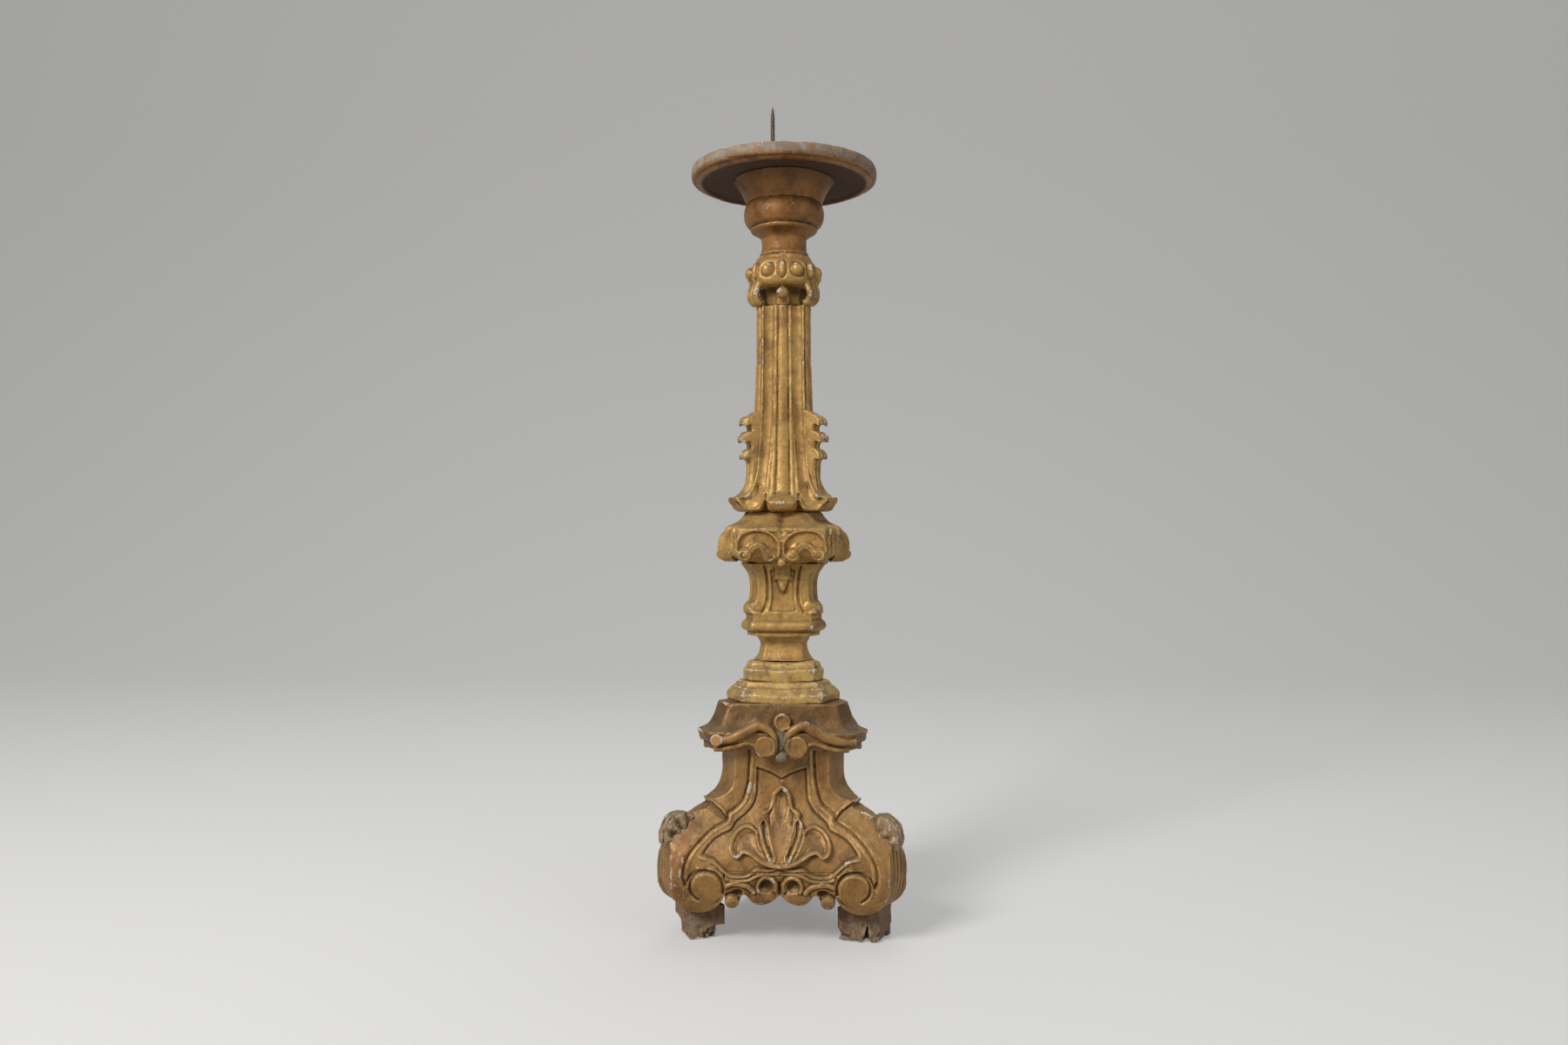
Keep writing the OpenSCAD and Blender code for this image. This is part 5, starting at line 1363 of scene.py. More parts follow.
@dataclass
class Knot:
    """The neck, the pedestal and the knop with its C-scrolls."""

    shop: Workshop

    def neck(self) -> bpy.types.Object:
        """Carves the hollow neck over the plinths."""
        flat = np.vstack([swoop([27, 300.2], [22.7, 303], [19.7, 311.6], [19.7, 319.6], 8), [[23.7, 327.8]]])
        blank = Tower(flat, flat + [7.9, 0], 180, 0.9, 34.0).carve()
        blank.fuse(0.9, 1).weather(109, 0.4, 0.9)
        return blank.finish("lower_neck", "gilding", self.shop.gold)

    def pedestal(self) -> bpy.types.Object:
        """Carves the knop's pedestal, with its torus, grooved sides and hanging blocks."""
        flat = np.vstack([[[31, 328.2], [31, 331.4], [29.8, 332.2], [32.5, 333.4]],
                          swoop([34.5, 334], [38.0, 336.5], [38.0, 341.5], [34, 345.2], 8)[1:],
                          [[32, 346], [32, 354.6]], swoop([30.4, 357], [28.4, 367], [28.4, 384], [29.4, 392], 8),
                          swoop([30.4, 396], [31.4, 404], [34.4, 407], [36.4, 409.8], 6)])
        corner = np.vstack([[[42, 328.2], [42, 331.4], [41, 332.2], [43.5, 333.4]],
                            swoop([45, 334], [49.5, 336], [49.5, 341], [46, 345.2], 8)[1:],
                            [[44, 346], [44, 352.4]], swoop([48, 354], [50.5, 360], [47, 366.5], [42.5, 365.5], 8)[:-1],
                            swoop([40.5, 368], [38.5, 376], [37.5, 388], [40.5, 398], 8), [[49.5, 409.8]]])
        groove = through([(20.6, 407.5), (18.4, 396.4), (17.2, 380), (18.4, 366), (23.5, 354.5)])
        bead = through([(15.5, 402), (14.4, 392), (13.6, 380), (14.4, 366), (16.5, 357)])
        panel = mirrored(np.vstack([[(0, 356.5)], (bead - [1.6, 0])[::-1], [(0, 409)]]))
        cuts = [Ground(panel, -1.9, 0.8)]
        for side in BOTH_SIDES:
            cuts += [Groove(side(groove), 2.4, 1.2), Bead(side(bead), 1.6, 1.0),
                     Bead(side(groove + [2.6, 0]), 1.6, 0.6),
                     Swell(spot(side, 31.0, 360.5), 7.5, 1.6),
                     Groove(side(through([(24, 356.5), (30, 357.5), (36, 361)])), 1.4, 1.0)]
        drop = np.array([(-8.8, 409), (8.8, 409), (8.4, 394), (5.6, 389.5), (3.4, 381), (0, 375.5), (-3.4, 381),
                         (-5.6, 389.5), (-8.4, 394)])
        cuts += [Ground(drop, 3.6, 0.9), Swell((0, 383), 3.4, 1.8, 1.4),
                 Groove(straight(-9, 390.5, 9, 390.5), 1.2, 0.9), Swell((0, 399), 7.0, -1.8, 0.9)]
        cuts += [Swell((x, 392.5), 2.9, 2.0) for x in (-8.0, 8.0)]
        ribs = [Groove(straight(x, 369, x, 408), 1.4, 1.6) for x in (-5.0, 5.0)]
        curl = [Swell((0, 360), 6.0, 1.6), Groove(arc((0, 360), 6.4, 200, 340, steps=10), 1.4, 1.1)]
        blank = Tower(flat, corner, 360, 0.7, 50.0, relief(cuts), relief(ribs + curl)).carve()
        blank.fuse(0.75, 1).weather(113, 0.35, 1.2)
        return blank.finish("knop_pedestal", "gilding", self.shop.gold,
                            knocks=[(38, 358, 7), (44, 345, 9), (30, 337, 8), (-36, 360, 6), (-38, 350, 6),
                                    (26, 352, 5)])

    def body(self) -> bpy.types.Object:
        """Carves the knop itself, with the ribs of its corners and the humps of its shoulder."""
        flat = np.vstack([swoop([36.4, 410.2], [40.4, 414], [50, 417], [52.5, 426], 10),
                          swoop([52.5, 449], [46, 452], [38.5, 456], [33.5, 467.8], 12)])
        corner = np.vstack([swoop([41.5, 410.2], [50, 413.5], [66, 416], [66.5, 426], 10),
                            [[67.5, 433], [67.5, 444], [66.5, 449.5]],
                            swoop([64.5, 452.5], [54, 455.5], [47.5, 458], [44, 467.8], 12)])
        humps = [Swell((x, 455), 15.0, 3.6, 0.8) for x in (-16.0, 16.0)]
        humps += [Groove(straight(0, 467, 0, 446), 2.2, 3.2)]
        ribs = [Groove(through([(x * 0.7, 414), (x, 430), (x, 444), (x * 0.6, 458)]), 2.6, 1.7)
                for x in (-13.0, -4.8, 4.8, 13.0)]
        ribs += [Swell((0, 424), 9.0, 2.0), Swell((-9.0, 447.0), 6.0, 1.8), Swell((9.0, 447.0), 6.0, 1.8)]
        blank = Tower(flat, corner, 360, 0.85, 20.0, relief(humps), relief(ribs)).carve()
        blank.fuse(0.9, 1).weather(127, 0.55, 1.4)
        return blank.finish("mid_knop", "dark_gilding", self.shop.gold,
                            knocks=[(62, 440, 9), (66, 424, 9), (-62, 420, 8), (54, 446, 6)])

    def scrolls(self, face: Face, seed: int) -> bpy.types.Object:
        """Carves the two C-scrolls of one face of the knop, back to back."""
        half = through([(0, 408.5), (5.5, 408.0), (12.5, 411.0), (18.6, 413.6), (20.8, 418.0), (21.2, 423.5)], 4)
        arch = through([(21.6, 425.0), (25.5, 427.4), (30.2, 425.6)], 4)
        rest = through([(31.6, 420), (33.8, 414.6), (40.0, 411.2), (46.0, 414.3), (49.4, 423), (49.4, 433),
                        (46.6, 441), (41.2, 446.3), (31.5, 448.3), (22, 447.9), (12.8, 445.4), (5.6, 441),
                        (2.6, 437.5), (0, 437.5)], 4)
        rim = through([(17.5, 413.4), (10.5, 412.5), (5.5, 416.5), (3.2, 423), (3.2, 431), (7, 438), (13.5, 443.5),
                       (22, 446), (31, 446.3), (40, 444.3), (45.5, 439.5), (48.2, 432), (48.4, 424), (46, 416.5),
                       (41, 412.4)])
        band = np.vstack([rim[18:96], [(38, 425), (33.5, 430.5), (26.5, 433.5), (19.5, 431.5), (15, 428)]])
        second = through([(17.2, 428.6), (20.6, 432.0), (26.0, 433.8), (31.8, 432.0), (35.0, 428.8)])
        cuts = [Swell((0.0, 442.8), 3.4, 1.6, 1.2), Groove(straight(0.0, 438.5, 0.0, 417.0), 1.6, 1.6)]
        for side in BOTH_SIDES:
            cuts += [
                Ground(side(band), -2.6, 1.1, -2.2, 6.0), Bead(side(rim), 1.9, 1.8),
                Ground(side(arc((40.2, 420.6), 7.4, 0, 350, steps=24)), 4.6, 1.5),
                Ground(side(arc((12.2, 420.2), 7.0, 0, 350, steps=24)), 4.6, 1.5),
                Groove(side(arc((40.2, 420.6), 5.4, 150, 420, 2.6, 20)), 1.6, 0.9),
                Groove(side(arc((12.2, 420.2), 5.0, 30, -240, 2.4, 20)), 1.6, 0.9),
                Bead(side(second), 1.7, 1.3), Groove(side(second + [0, 2.8]), 1.6, 1.0),
            ]
        blank = sawn(mirrored(np.vstack([half, arch, rest])), -14.0, 1.6, 0.7)
        blank.lay_on(through([(43.0, 400.0), (48.0, 408.0), (52.5, 413.5), (55.0, 421.0), (55.4, 432.0), (54.6, 442.0),
                               (51.0, 455.0)]), relief(cuts), 4.0)
        blank.ball((0.0, -53.6, 411.8), (5.2, 4.6, 5.2))
        blank.fuse(0.7, 1)
        blank.turn(face.value).weather(seed, 0.25, 0.7)
        return blank.finish(named("knop_scrolls", face), "gilding", self.shop.gold,
                            knocks=[(-47, 438, 6), (-30, 447, 5), (10, 441, 5), (-12, 414, 4), (46, 441, 5)])

    def build(self) -> None:
        """Makes every piece of the knop."""
        self.neck()
        self.pedestal()
        self.body()
        for face, seed in zip(Face, (131, 137, 139)):
            self.scrolls(face, seed)


@dataclass
class Stem:
    """The fluted shaft with its leaf curls, the beaded collar and the turned stem."""

    shop: Workshop
    foot_top: float = 506.0
    beads: int = 7
    bead_z: float = 739.4
    ring_r: float = 40.0

    def flutes(self, x: Points, z: Points) -> Points:
        """The reed, the two ribs and the two flutes of a face of the shaft."""
        a = np.abs(x)

        def edge(heights: Sequence, places: Sequence) -> Points:
            """How far from the middle an edge runs at each height."""
            return np.interp(z, heights, places)

        levels = (470, 503, 530, 560, 586, 702)
        reed = edge(levels, (7.4, 6.9, 6.4, 6.0, 5.6, 4.8))
        rib = edge(levels, (12.2, 11.3, 10.2, 9.3, 8.8, 8.0))
        half = edge(levels, (2.6, 2.5, 2.3, 2.1, 2.0, 1.8))
        start = edge(levels, (19.5, 17.6, 14.6, 12.4, 11.4, 10.4))
        ridge = edge((489.5, 496, 508, 530, 545, 560, 592, 654, 702),
                     (39.5, 34, 30, 27.6, 26.5, 25.3, 23.6, 23.3, 22.6))
        h = 1.9 * np.sqrt(np.clip(1 - (a / reed) ** 2, 0, 1)) - 1.6 * np.exp(-(((a - reed - 0.6) / 0.8) ** 2))
        h += 1.1 * np.sqrt(np.clip(1 - ((a - rib) / half) ** 2, 0, 1)) - 1.0 * np.exp(-(((a - rib - half) / 0.8) ** 2))
        middle, reach = (start + ridge - 1.2) / 2, (ridge - 1.2 - start) / 2
        h -= 3.0 * np.sqrt(np.clip(1 - np.abs((a - middle) / reach) ** 2.6, 0, 1)) * ease((z - 468) / 10)
        h += 0.8 * np.exp(-(((a - ridge) / 0.9) ** 2)) * ease((z - 488) / 4)
        return h

    def shaft(self) -> bpy.types.Object:
        """Carves the shaft with its flutes, its ears and the lobe at its foot."""
        flat = np.vstack([[[36, 468.2], [43, 470.5]],
                          swoop([45.5, 478], [38, 490], [26.5, 506], [25.2, 560], 20), [[22.8, 640], [22.5, 701.8]]])
        corner = np.vstack([[[52, 468.2], [64, 474]],
                            swoop([65, 482], [46, 486], [37, 502], [34.5, 560], 20), [[31.8, 640], [32, 701.8]]])
        ear = through([(20.4, 480), (24, 473.5), (32, 469.6), (40, 468.8), (47, 471.5), (50.5, 477), (50.5, 482),
                       (46, 487.0), (40.5, 487.6), (35.0, 492), (31, 500), (24, 500), (20.4, 490), (20.4, 480)], 5)[:-1]
        lip = through([(20.0, 479), (24.5, 472.8), (32, 469.4), (40, 468.9), (47, 471.8), (50.4, 477.2), (49.6, 483.0),
                       (45.5, 487.0), (40.0, 487.6)])
        cuts = [Swell((0, 477.5), 15.5, 5.4, 0.66), Groove(straight(-9, 488.6, 9, 488.6), 1.6, 1.4)]
        for side in BOTH_SIDES:
            cuts += [Ground(side(ear), -1.2, 1.2, -4.2, 9.0), Bead(side(lip), 2.2, 2.4),
                     Swell(spot(side, 43.5, 480.5), 5.2, -1.6), Swell(spot(side, 39.4, 487.0), 4.6, 3.2),
                     Groove(side(straight(18.2, 466.0, 18.4, 487.0)), 4.4, 1.5)]
        foot = relief(cuts)

        def faces(x: Points, z: Points) -> Points:
            """The relief of a face: its flutes, and its scrolled foot below them."""
            low = z < self.foot_top
            h = self.flutes(x, z) * np.where(low, ease((z - 482) / 14), 1.0)
            h[low] += foot(x[low], z[low])
            return h

        def corners(x: Points, z: Points) -> Points:
            """The relief of a corner: a reed between two grooves, above the leaf."""
            h = 1.2 * np.sqrt(np.clip(1 - (x / 3.6) ** 2, 0, 1)) - 1.4 * np.exp(-(((np.abs(x) - 5.0) / 1.1) ** 2))
            return h * ease((z - 560) / 20)

        blank = Tower(flat, corner, 440, 0.8, 60.0, faces, corners).carve()
        blank.fuse(0.88, 1)
        co = blank.places
        lift = np.zeros(len(co))
        for face in Face:
            out, _ = outward(face.value)
            depth = co[:, 0] * out[0] + co[:, 1] * out[1]
            across = np.abs(co[:, 1] * out[0] - co[:, 0] * out[1])
            edge = 6.0 * np.exp(-(((across - 19.0) / 3.4) ** 2)) + 7.5 * ease((across - 38.0) / 14.0)
            lift = np.maximum(lift, edge * ease((depth - 28.0) / 7.0))
        co[:, 2] += lift * ease((490 - co[:, 2]) / 22)
        blank.places = co
        blank.weather(149, 0.28, 0.7)
        spots = [(-23, 660, 7), (-24, 640, 8), (-23.5, 690, 6), (24, 636, 6), (26, 660, 5), (-40, 487, 6), (42, 486, 7),
                 (47, 474, 5), (-2, 479, 9), (-32, 469, 6), (33, 469, 6), (26, 590, 5)]
        return blank.finish("shaft", "gilding", self.shop.gold, knocks=spots)

    def leaf_curls(self, corner: Corner, seed: int) -> bpy.types.Object:
        """Carves the leaf that lies on a corner of the shaft and curls off it in three tips."""
        half_w = 9.0
        tips = [(47, 524), (50, 527.5), (54.5, 528.4), (56.0, 531.5), (54.6, 535.5), (50.5, 538.2), (46.2, 539.2),
                (45.4, 542), (47.5, 546.0), (52, 547.6), (56.2, 547.6), (57.8, 551), (56.2, 555.0), (51.5, 557.8),
                (46.0, 558.6), (44.8, 561.5), (46.5, 565.2), (50.5, 566.4), (54.6, 565.8), (56.2, 569.0), (54.4, 573.2),
                (49.5, 576.2), (43.5, 577.6), (38.5, 580.6), (33.0, 583.0)]
        curls = through([(51.5, 486.0), (48.6, 496), (46.4, 510)] + tips, 4)
        side_view = np.vstack([curls, [(31.5, 583.0), (31.0, 560.0), (34.0, 528.0), (41.0, 498.0), (46.0, 486.0)]])
        blank = sawn(side_view, -half_w, half_w, 0.75, 2, edge_on=True)
        co = blank.places
        share = np.clip(np.abs(co[:, 0]) / half_w, 0, 1)
        out = ease((-co[:, 1] - 40.0) / 8.0)
        veins = relief([Groove(straight(x, 484.0, x * 1.1, 586.0), 1.5, 1.0) for x in (-3.3, 3.3)])
        co[:, 1] += (3.6 * share**3 - veins(co[:, 0], co[:, 2])) * out
        co[:, 2] -= 2.4 * share**2 * ease((-co[:, 1] - 47.0) / 6.0)
        co[:, 0] *= 1.0 - 0.16 * ease((-co[:, 1] - 50.0) / 6.0)
        blank.places = co
        blank.turn(corner.value).weather(seed, 0.45, 1.2)
        tip = ease((np.hypot(blank.places[:, 0], blank.places[:, 1]) - 50.5) / 5.0) * (blank.places[:, 2] > 520)
        return blank.finish(named("leaf_curls", corner), "gilding", self.shop.gold, {"knock": 0.8 * tip})

    def collar(self) -> bpy.types.Object:
        """Carves the collar: a ring of beads and ovals, and under it balls on the faces and leaves on the corners."""
        blank = Blank()
        blank.lathe(np.array([(0, 702.2), (23.4, 702.2), (24.4, 708), (26.2, 716), (29.0, 720.6), (35.6, 722.6),
                              (39.0, 726.0), (40.4, 731), (40.4, 737), (39.0, 744), (35.8, 750), (32.4, 754),
                              (31.6, 756.6), (30.2, 758.8), (0, 758.8)]), 110)
        for k in range(self.beads):
            look = math.radians(-90 + 360 * (k + 0.5) / self.beads)
            blank.ball((38.2 * math.cos(look), 38.2 * math.sin(look), self.bead_z), (6.8, 6.8, 7.6))
            look = math.radians(-90 + 360 * k / self.beads)
            z = np.linspace(731.5, 750.5, 11)
            reach = 40.6 - 0.022 * (z - 735.0) ** 2
            line = np.column_stack([reach * math.cos(look), reach * math.sin(look), z])
            blank.tube(line, 3.6 * np.sqrt(np.clip(1 - ((z - 741.0) / 10.2) ** 2, 0.04, 1)), 14)
        for face in Face:
            out = np.append(outward(face.value)[0], 0.0)
            blank.ball(out * 32.0 + [0, 0, 713.4], (7.0, 7.0, 7.0))
        for corner in Corner:
            out, side = (np.append(way, 0.0) for way in outward(corner.value))
            for s, r in ((0.0, 4.6), (-6.4, 3.8), (6.4, 3.8)):
                curl = [out * 32.0 + side * s + [0, 0, 704], out * 37.0 + side * s * 1.1 + [0, 0, 706.0],
                        out * 39.6 + side * s * 1.2 + [0, 0, 712.0], out * 38.6 + side * s * 1.3 + [0, 0, 718.5],
                        out * 35.0 + side * s * 1.2 + [0, 0, 726]]
                blank.tube(through(curl), r, 12)
        blank.fuse(0.8, 1)
        co = blank.places
        look = np.arctan2(co[:, 1], co[:, 0])
        turned = (look + math.pi / 2 + math.pi / 3) % (2 * math.pi / 3) - math.pi / 3
        across = np.abs(np.hypot(co[:, 0], co[:, 1]) * np.sin(turned))
        arches = 6.0 * np.clip(1 - ((across - 12.6) / 5.6) ** 2, 0, 1) ** 0.5
        arches *= ease((722.5 - co[:, 2] - 0.05 * (across - 12.6) ** 2) / 4)
        arches += 2.6 * np.clip(1 - ((across - 20.5) / 2.2) ** 2, 0, 1) * ease((716 - co[:, 2]) / 4)
        spacing = 2 * math.pi / self.beads
        step = (look + math.pi / 2) / spacing
        to_ball = (step - np.floor(step) - 0.5) * spacing * self.ring_r
        to_oval = (step - np.round(step)) * spacing * self.ring_r
        arches += 1.9 * np.exp(-(((np.hypot(to_ball, co[:, 2] - self.bead_z) - 8.6) / 1.3) ** 2))
        arches += 1.5 * np.exp(-(((np.hypot(to_oval * 1.9, co[:, 2] - 740.0) - 10.6) / 1.7) ** 2))
        co[:, :2] *= (1 - arches / np.maximum(np.hypot(co[:, 0], co[:, 1]), 8.0))[:, None]
        blank.places = co
        blank.fuse(0.8, 1).weather(151, 0.35, 1.0)
        co = blank.places
        ball = np.clip(1 - np.hypot(np.hypot(co[:, 0], co[:, 1] + 34), co[:, 2] - 714.2) / 9.0, 0, 1)
        # Painted shade: the waist inside the bead ring, among the balls and leaves under it, is darkened.
        under = ease((31.5 - np.hypot(co[:, 0], co[:, 1])) / 4) * ease((co[:, 2] - 706) / 12) * (co[:, 2] < 726)
        return blank.finish("bead_collar", "gilding", self.shop.gold, {"dusted": 0.9 * ball, "shade_and_grime": 0.85 * under},
                            knocks=[(-15, 745, 5), (14, 746, 5), (0, 744, 4), (-4, 716, 6), (30, 742, 6), (-30, 716, 7),
                                    (34, 712, 8), (0, 757, 7)])

    def turned_stem(self) -> bpy.types.Object:
        """Turns the stem between the collar and the pan."""
        profile = np.vstack([
            [(9, 759.2), (28, 759.2), (28.4, 761.5), (26.8, 764)],
            swoop([25.8, 766], [25.2, 770], [25.2, 776], [26.2, 781], 6),
            [(28.6, 783.4), (32.6, 786.2), (37.0, 788.2), (38.8, 790.4), (37.4, 791.8), (38.6, 793.0)],
            swoop([41.5, 794.6], [46.4, 799.0], [47.6, 811], [43.6, 818], 12), [(42.4, 819), (43.2, 820.4)],
            swoop([44, 822], [46, 829], [51, 838], [58, 846.8], 8), [(9, 846.8)]])
        blank = Blank()
        blank.lathe(profile, 120)
        bmesh.ops.subdivide_edges(blank.mesh, edges=[e for e in blank.mesh.edges if e.calc_length() > 3.0], cuts=3)
        blank.fuse(0.95, 1).weather(157, 0.3, 0.9)
        co = blank.places
        # Painted shade: the stem darkens upwards to the pan, as in the pan's shadow.
        shaded = ease((co[:, 2] - 824) / 22) * 0.4
        return blank.finish("pan_stem", "dark_gilding", self.shop.crown_gold, {"shade_and_grime": shaded},
                            knocks=[(-15, 808, 8), (10, 810, 5), (2, 823, 5), (22, 824, 5)])

    def build(self) -> None:
        """Makes every piece of the stem."""
        self.shaft()
        for corner, seed in zip(Corner, (163, 167, 173)):
            self.leaf_curls(corner, seed)
        self.collar()
        self.turned_stem()


@dataclass
class Crown:
    """The drip pan and its iron spike."""

    shop: Workshop
    spike_x: float = -13.0

    def pan(self) -> bpy.types.Object:
        """Turns the drip pan, a broad dish with a ring worked under it."""
        profile = np.vstack([
            [(3.2, 847.2), (60, 847.2), (72, 846.4), (86, 845.6), (90.5, 844.6)],
            swoop([92, 843.4], [94, 842.6], [98, 842.6], [100, 844.2], 6),
            [(101.4, 846.2), (103.0, 845.8)], swoop([105.0, 846.2], [106.4, 849], [106.4, 855], [105.2, 858.6], 6),
            [(103.8, 859.8), (100.6, 859.9), (98.4, 858.9), (94.5, 856.9), (88, 856.2), (3.2, 856.0)]])
        blank = Blank()
        blank.lathe(profile, 180)
        blank.fuse(1.15, 1).weather(179, 0.25, 1.3)
        co, n = blank.places, blank.normals
        r = np.hypot(co[:, 0], co[:, 1])
        # Painted shade: the pan's underside inside its ring is darkened, as where little light reaches.
        under = ease((-n[:, 2] - 0.1) / 0.5) * ease((97.0 - r) / 5.0)
        rim = ease((r - 100.5) / 2.5) * ease((n[:, 2] + 0.55) / 0.5) * np.clip(0.6 + 0.5 * lattice(co, 9.0, 181), 0, 1)
        worn_top = ease((n[:, 2] - 0.4) / 0.4)
        return blank.finish("drip_pan", "dark_gilding", self.shop.crown_gold,
                            {"shade_and_grime": 0.85 * under, "knock": 0.55 * rim,
                             "dusted": np.clip(1.25 * rim + 0.5 * worn_top, 0, 1)})

    def spike(self) -> bpy.types.Object:
        """Forges the spike, drawn to a point; it is turned round, not four-sided below."""
        blank = Blank()
        profile = np.array([(0, 826.5), (1.9, 826.5), (1.9, 856.2), (2.45, 856.6), (2.5, 900), (2.4, 921),
                            (1.4, 929.5), (0, 933.8)])
        blank.lathe(profile, 20)
        bmesh.ops.subdivide_edges(blank.mesh, edges=[e for e in blank.mesh.edges if e.calc_length() > 6.0], cuts=12)
        co = blank.places
        r = np.hypot(co[:, 0], co[:, 1])[:, None] + 1e-9
        over = (co[:, 2] > 857)[:, None]
        co[:, :2] += np.where(over, co[:, :2] / r * 0.16 * (lattice(co, 5.0, 181)[:, None] - 0.9), 0.0)
        co[:, 0] += self.spike_x
        blank.places = co
        return blank.finish("pricket", "iron", self.shop.iron)

    def build(self) -> None:
        """Makes the pan and the spike."""
        self.pan()
        self.spike()


# ---------------------------------------------------------------- studio


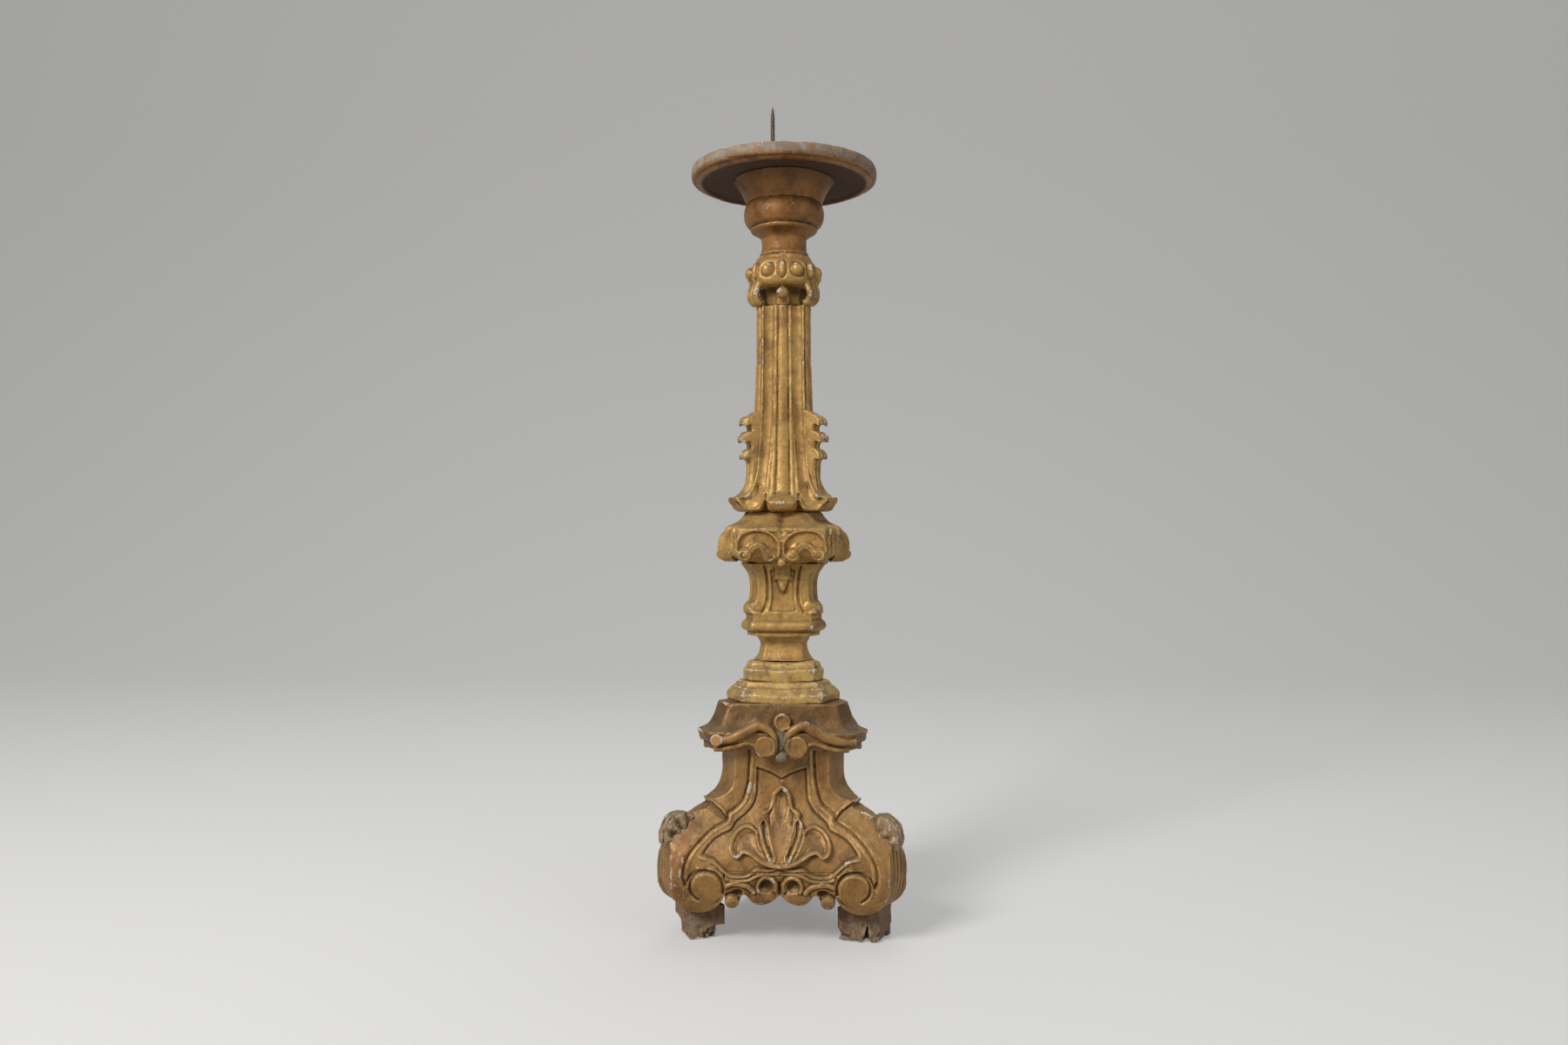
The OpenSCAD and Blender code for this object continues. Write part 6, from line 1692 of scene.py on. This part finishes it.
@dataclass
class Studio:
    """A pale floor and backdrop, soft lamps and the camera."""

    eye: float = 1.30
    turn: float = 3.0
    height: float = 0.456
    lens: float = 26.0
    sensor: float = 36.0
    paper_half_width: float = 9.0
    paper_length: float = 11.0
    paper_front: float = -4.0
    flat_length: float = 6.0
    bend_radius: float = 2.4
    aim: tuple = (0.0, 0.0, 0.45)

    def pale(self) -> bpy.types.Material:
        """The floor and backdrop's pale grey, lighter where the camera or a gloss sees it."""
        s = Shader("pale_backdrop")
        path = s.tree.nodes.new("ShaderNodeLightPath")
        seen = s.sum("MAXIMUM", path.outputs["Is Camera Ray"], path.outputs["Is Glossy Ray"])
        s.join(s.blend(seen, (124, 116, 106), (198, 199, 199)), s.surface.inputs["Base Color"])
        s.join(0.9, s.surface.inputs["Roughness"])
        s.join((1.0, 1.0, 1.0, 1.0), s.surface.inputs["Emission Color"])
        s.join(s.spread(seen, 0.0, 1.0, 0.0, 0.24), s.surface.inputs["Emission Strength"])
        return s.material

    def backdrop(self) -> None:
        """One sheet of pale paper that bends up behind the object."""
        mesh = bmesh.new()
        made = bmesh.ops.create_grid(mesh, x_segments=2, y_segments=60, size=1.0)["verts"]
        for v in made:
            run = (v.co.y + 1) / 2 * self.paper_length
            rest = run - self.flat_length
            v.co.x *= self.paper_half_width
            if rest < 0:
                v.co.y, v.co.z = run + self.paper_front, 0.0
            else:
                bend = min(rest / self.bend_radius, math.pi / 2)
                v.co.y = self.flat_length + self.paper_front + self.bend_radius * math.sin(bend)
                v.co.z = (self.bend_radius * (1 - math.cos(bend))
                          + max(0.0, rest - self.bend_radius * math.pi / 2))
        bmesh.ops.recalc_face_normals(mesh, faces=mesh.faces)
        data = bpy.data.meshes.new("backdrop")
        for face in mesh.faces:
            face.smooth = True
        mesh.to_mesh(data)
        mesh.free()
        data.materials.append(self.pale())
        sheet = bpy.data.objects.new("backdrop", data)
        bpy.context.scene.collection.objects.link(sheet)

    def lamp(self, name: str, place: Sequence, size: float, power: float, colour: Sequence) -> None:
        """A soft square lamp that looks at the middle of the stand."""
        data = bpy.data.lights.new(name, "AREA")
        data.size, data.energy, data.color = size, power, colour
        lamp = bpy.data.objects.new(name, data)
        lamp.location = place
        lamp.rotation_euler = (Vector(self.aim) - Vector(place)).to_track_quat("-Z", "Y").to_euler()
        bpy.context.scene.collection.objects.link(lamp)

    def camera(self) -> None:
        """The camera, level, at the photograph's distance and height."""
        data = bpy.data.cameras.new("camera")
        data.lens, data.sensor_width, data.clip_start = self.lens, self.sensor, 0.05
        camera = bpy.data.objects.new("camera", data)
        turn = math.radians(self.turn)
        camera.location = (self.eye * math.sin(turn), -self.eye * math.cos(turn), self.height)
        camera.rotation_euler = (math.radians(90), 0, turn)
        bpy.context.scene.collection.objects.link(camera)
        bpy.context.scene.camera = camera

    def build(self) -> None:
        """Sets up the studio."""
        scene = bpy.context.scene
        scene.view_settings.view_transform = "Standard"
        world = bpy.data.worlds.new("studio")
        world.use_nodes = True
        sky = world.node_tree.nodes["Background"]
        sky.inputs["Color"].default_value = (1.0, 0.98, 0.95, 1.0)
        path = world.node_tree.nodes.new("ShaderNodeLightPath")
        either = world.node_tree.nodes.new("ShaderNodeMath")
        either.operation = "MAXIMUM"
        world.node_tree.links.new(path.outputs["Is Camera Ray"], either.inputs[0])
        world.node_tree.links.new(path.outputs["Is Glossy Ray"], either.inputs[1])
        shown = world.node_tree.nodes.new("ShaderNodeMapRange")
        shown.inputs["To Min"].default_value, shown.inputs["To Max"].default_value = 0.21, 0.50
        world.node_tree.links.new(either.outputs[0], shown.inputs["Value"])
        world.node_tree.links.new(shown.outputs["Result"], sky.inputs["Strength"])
        scene.world = world
        self.backdrop()
        self.lamp("key", (-1.5, -1.9, 2.1), 1.0, 64.0, (1.0, 0.97, 0.92))
        self.lamp("fill", (2.0, -1.4, 1.2), 1.6, 9.0, (0.93, 0.96, 1.0))
        self.lamp("top", (0.2, 0.6, 2.6), 1.4, 12.0, (1.0, 1.0, 1.0))
        self.camera()


def joinery(shop: Workshop) -> None:
    """Gives bare wood to the blocks and pegs that are hidden inside."""
    for name in ("top_block", "corner_blocks", "foot_dowels", "upper_dowel", "lower_dowel"):
        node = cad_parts[name]
        for i in range(len(node.material_slots)):
            node.material_slots[i].material = shop.bare_wood
        log.info("%s: bare wood", name)


def main() -> None:
    """Builds the stand, the studio and the camera."""
    logging.basicConfig(level=logging.INFO, format="%(name)s %(message)s")
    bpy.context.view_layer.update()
    shop = Workshop(
        gold=Gilding("old_gilding").build(),
        # A darker copy of the gilding for the base: painted shade, for the light that falls off low down.
        base_gold=Gilding("old_base_gilding", leaf=(160, 119, 64), deep=(124, 86, 43), pale=(200, 166, 106)).build(),
        dark_gold=Gilding("soiled_roof_gilding", leaf=(118, 86, 45), deep=(94, 66, 32), pale=(158, 126, 76),
                          grimed_and_shaded=1.0, dusty=0.3).build(),
        pale_gold=Gilding("pale_plinth_gilding", leaf=(200, 166, 98), deep=(168, 128, 68), pale=(226, 204, 148),
                          worn=1.1, grimed_and_shaded=0.8).build(),
        worn_gold=Gilding("worn_leaf_gilding", leaf=(160, 134, 96), deep=(122, 96, 66), pale=(196, 178, 150),
                          worn=1.9, grimed_and_shaded=0.8).build(),
        crown_gold=Gilding("dark_crown_gilding", leaf=(156, 108, 52), deep=(118, 74, 34), pale=(184, 142, 84),
                           grime_and_shade_colour=(42, 27, 16), dust=(162, 154, 140), worn=0.45, grimed_and_shaded=1.0, dusty=0.5).build(),
        foot_wood=OldWood("worn_foot_wood").build(),
        bare_wood=OldWood("bare_wood", pale=(196, 164, 122), dark=(160, 122, 82), greyed=0.2, grimed_and_shaded=0.4).build(),
        iron=ForgedIron().build(),
    )
    Studio().build()
    Base(shop).build()
    Feet(shop).build()
    Roof(shop).build()
    Knot(shop).build()
    Stem(shop).build()
    Crown(shop).build()
    joinery(shop)


if __name__ == "__main__":
    main()
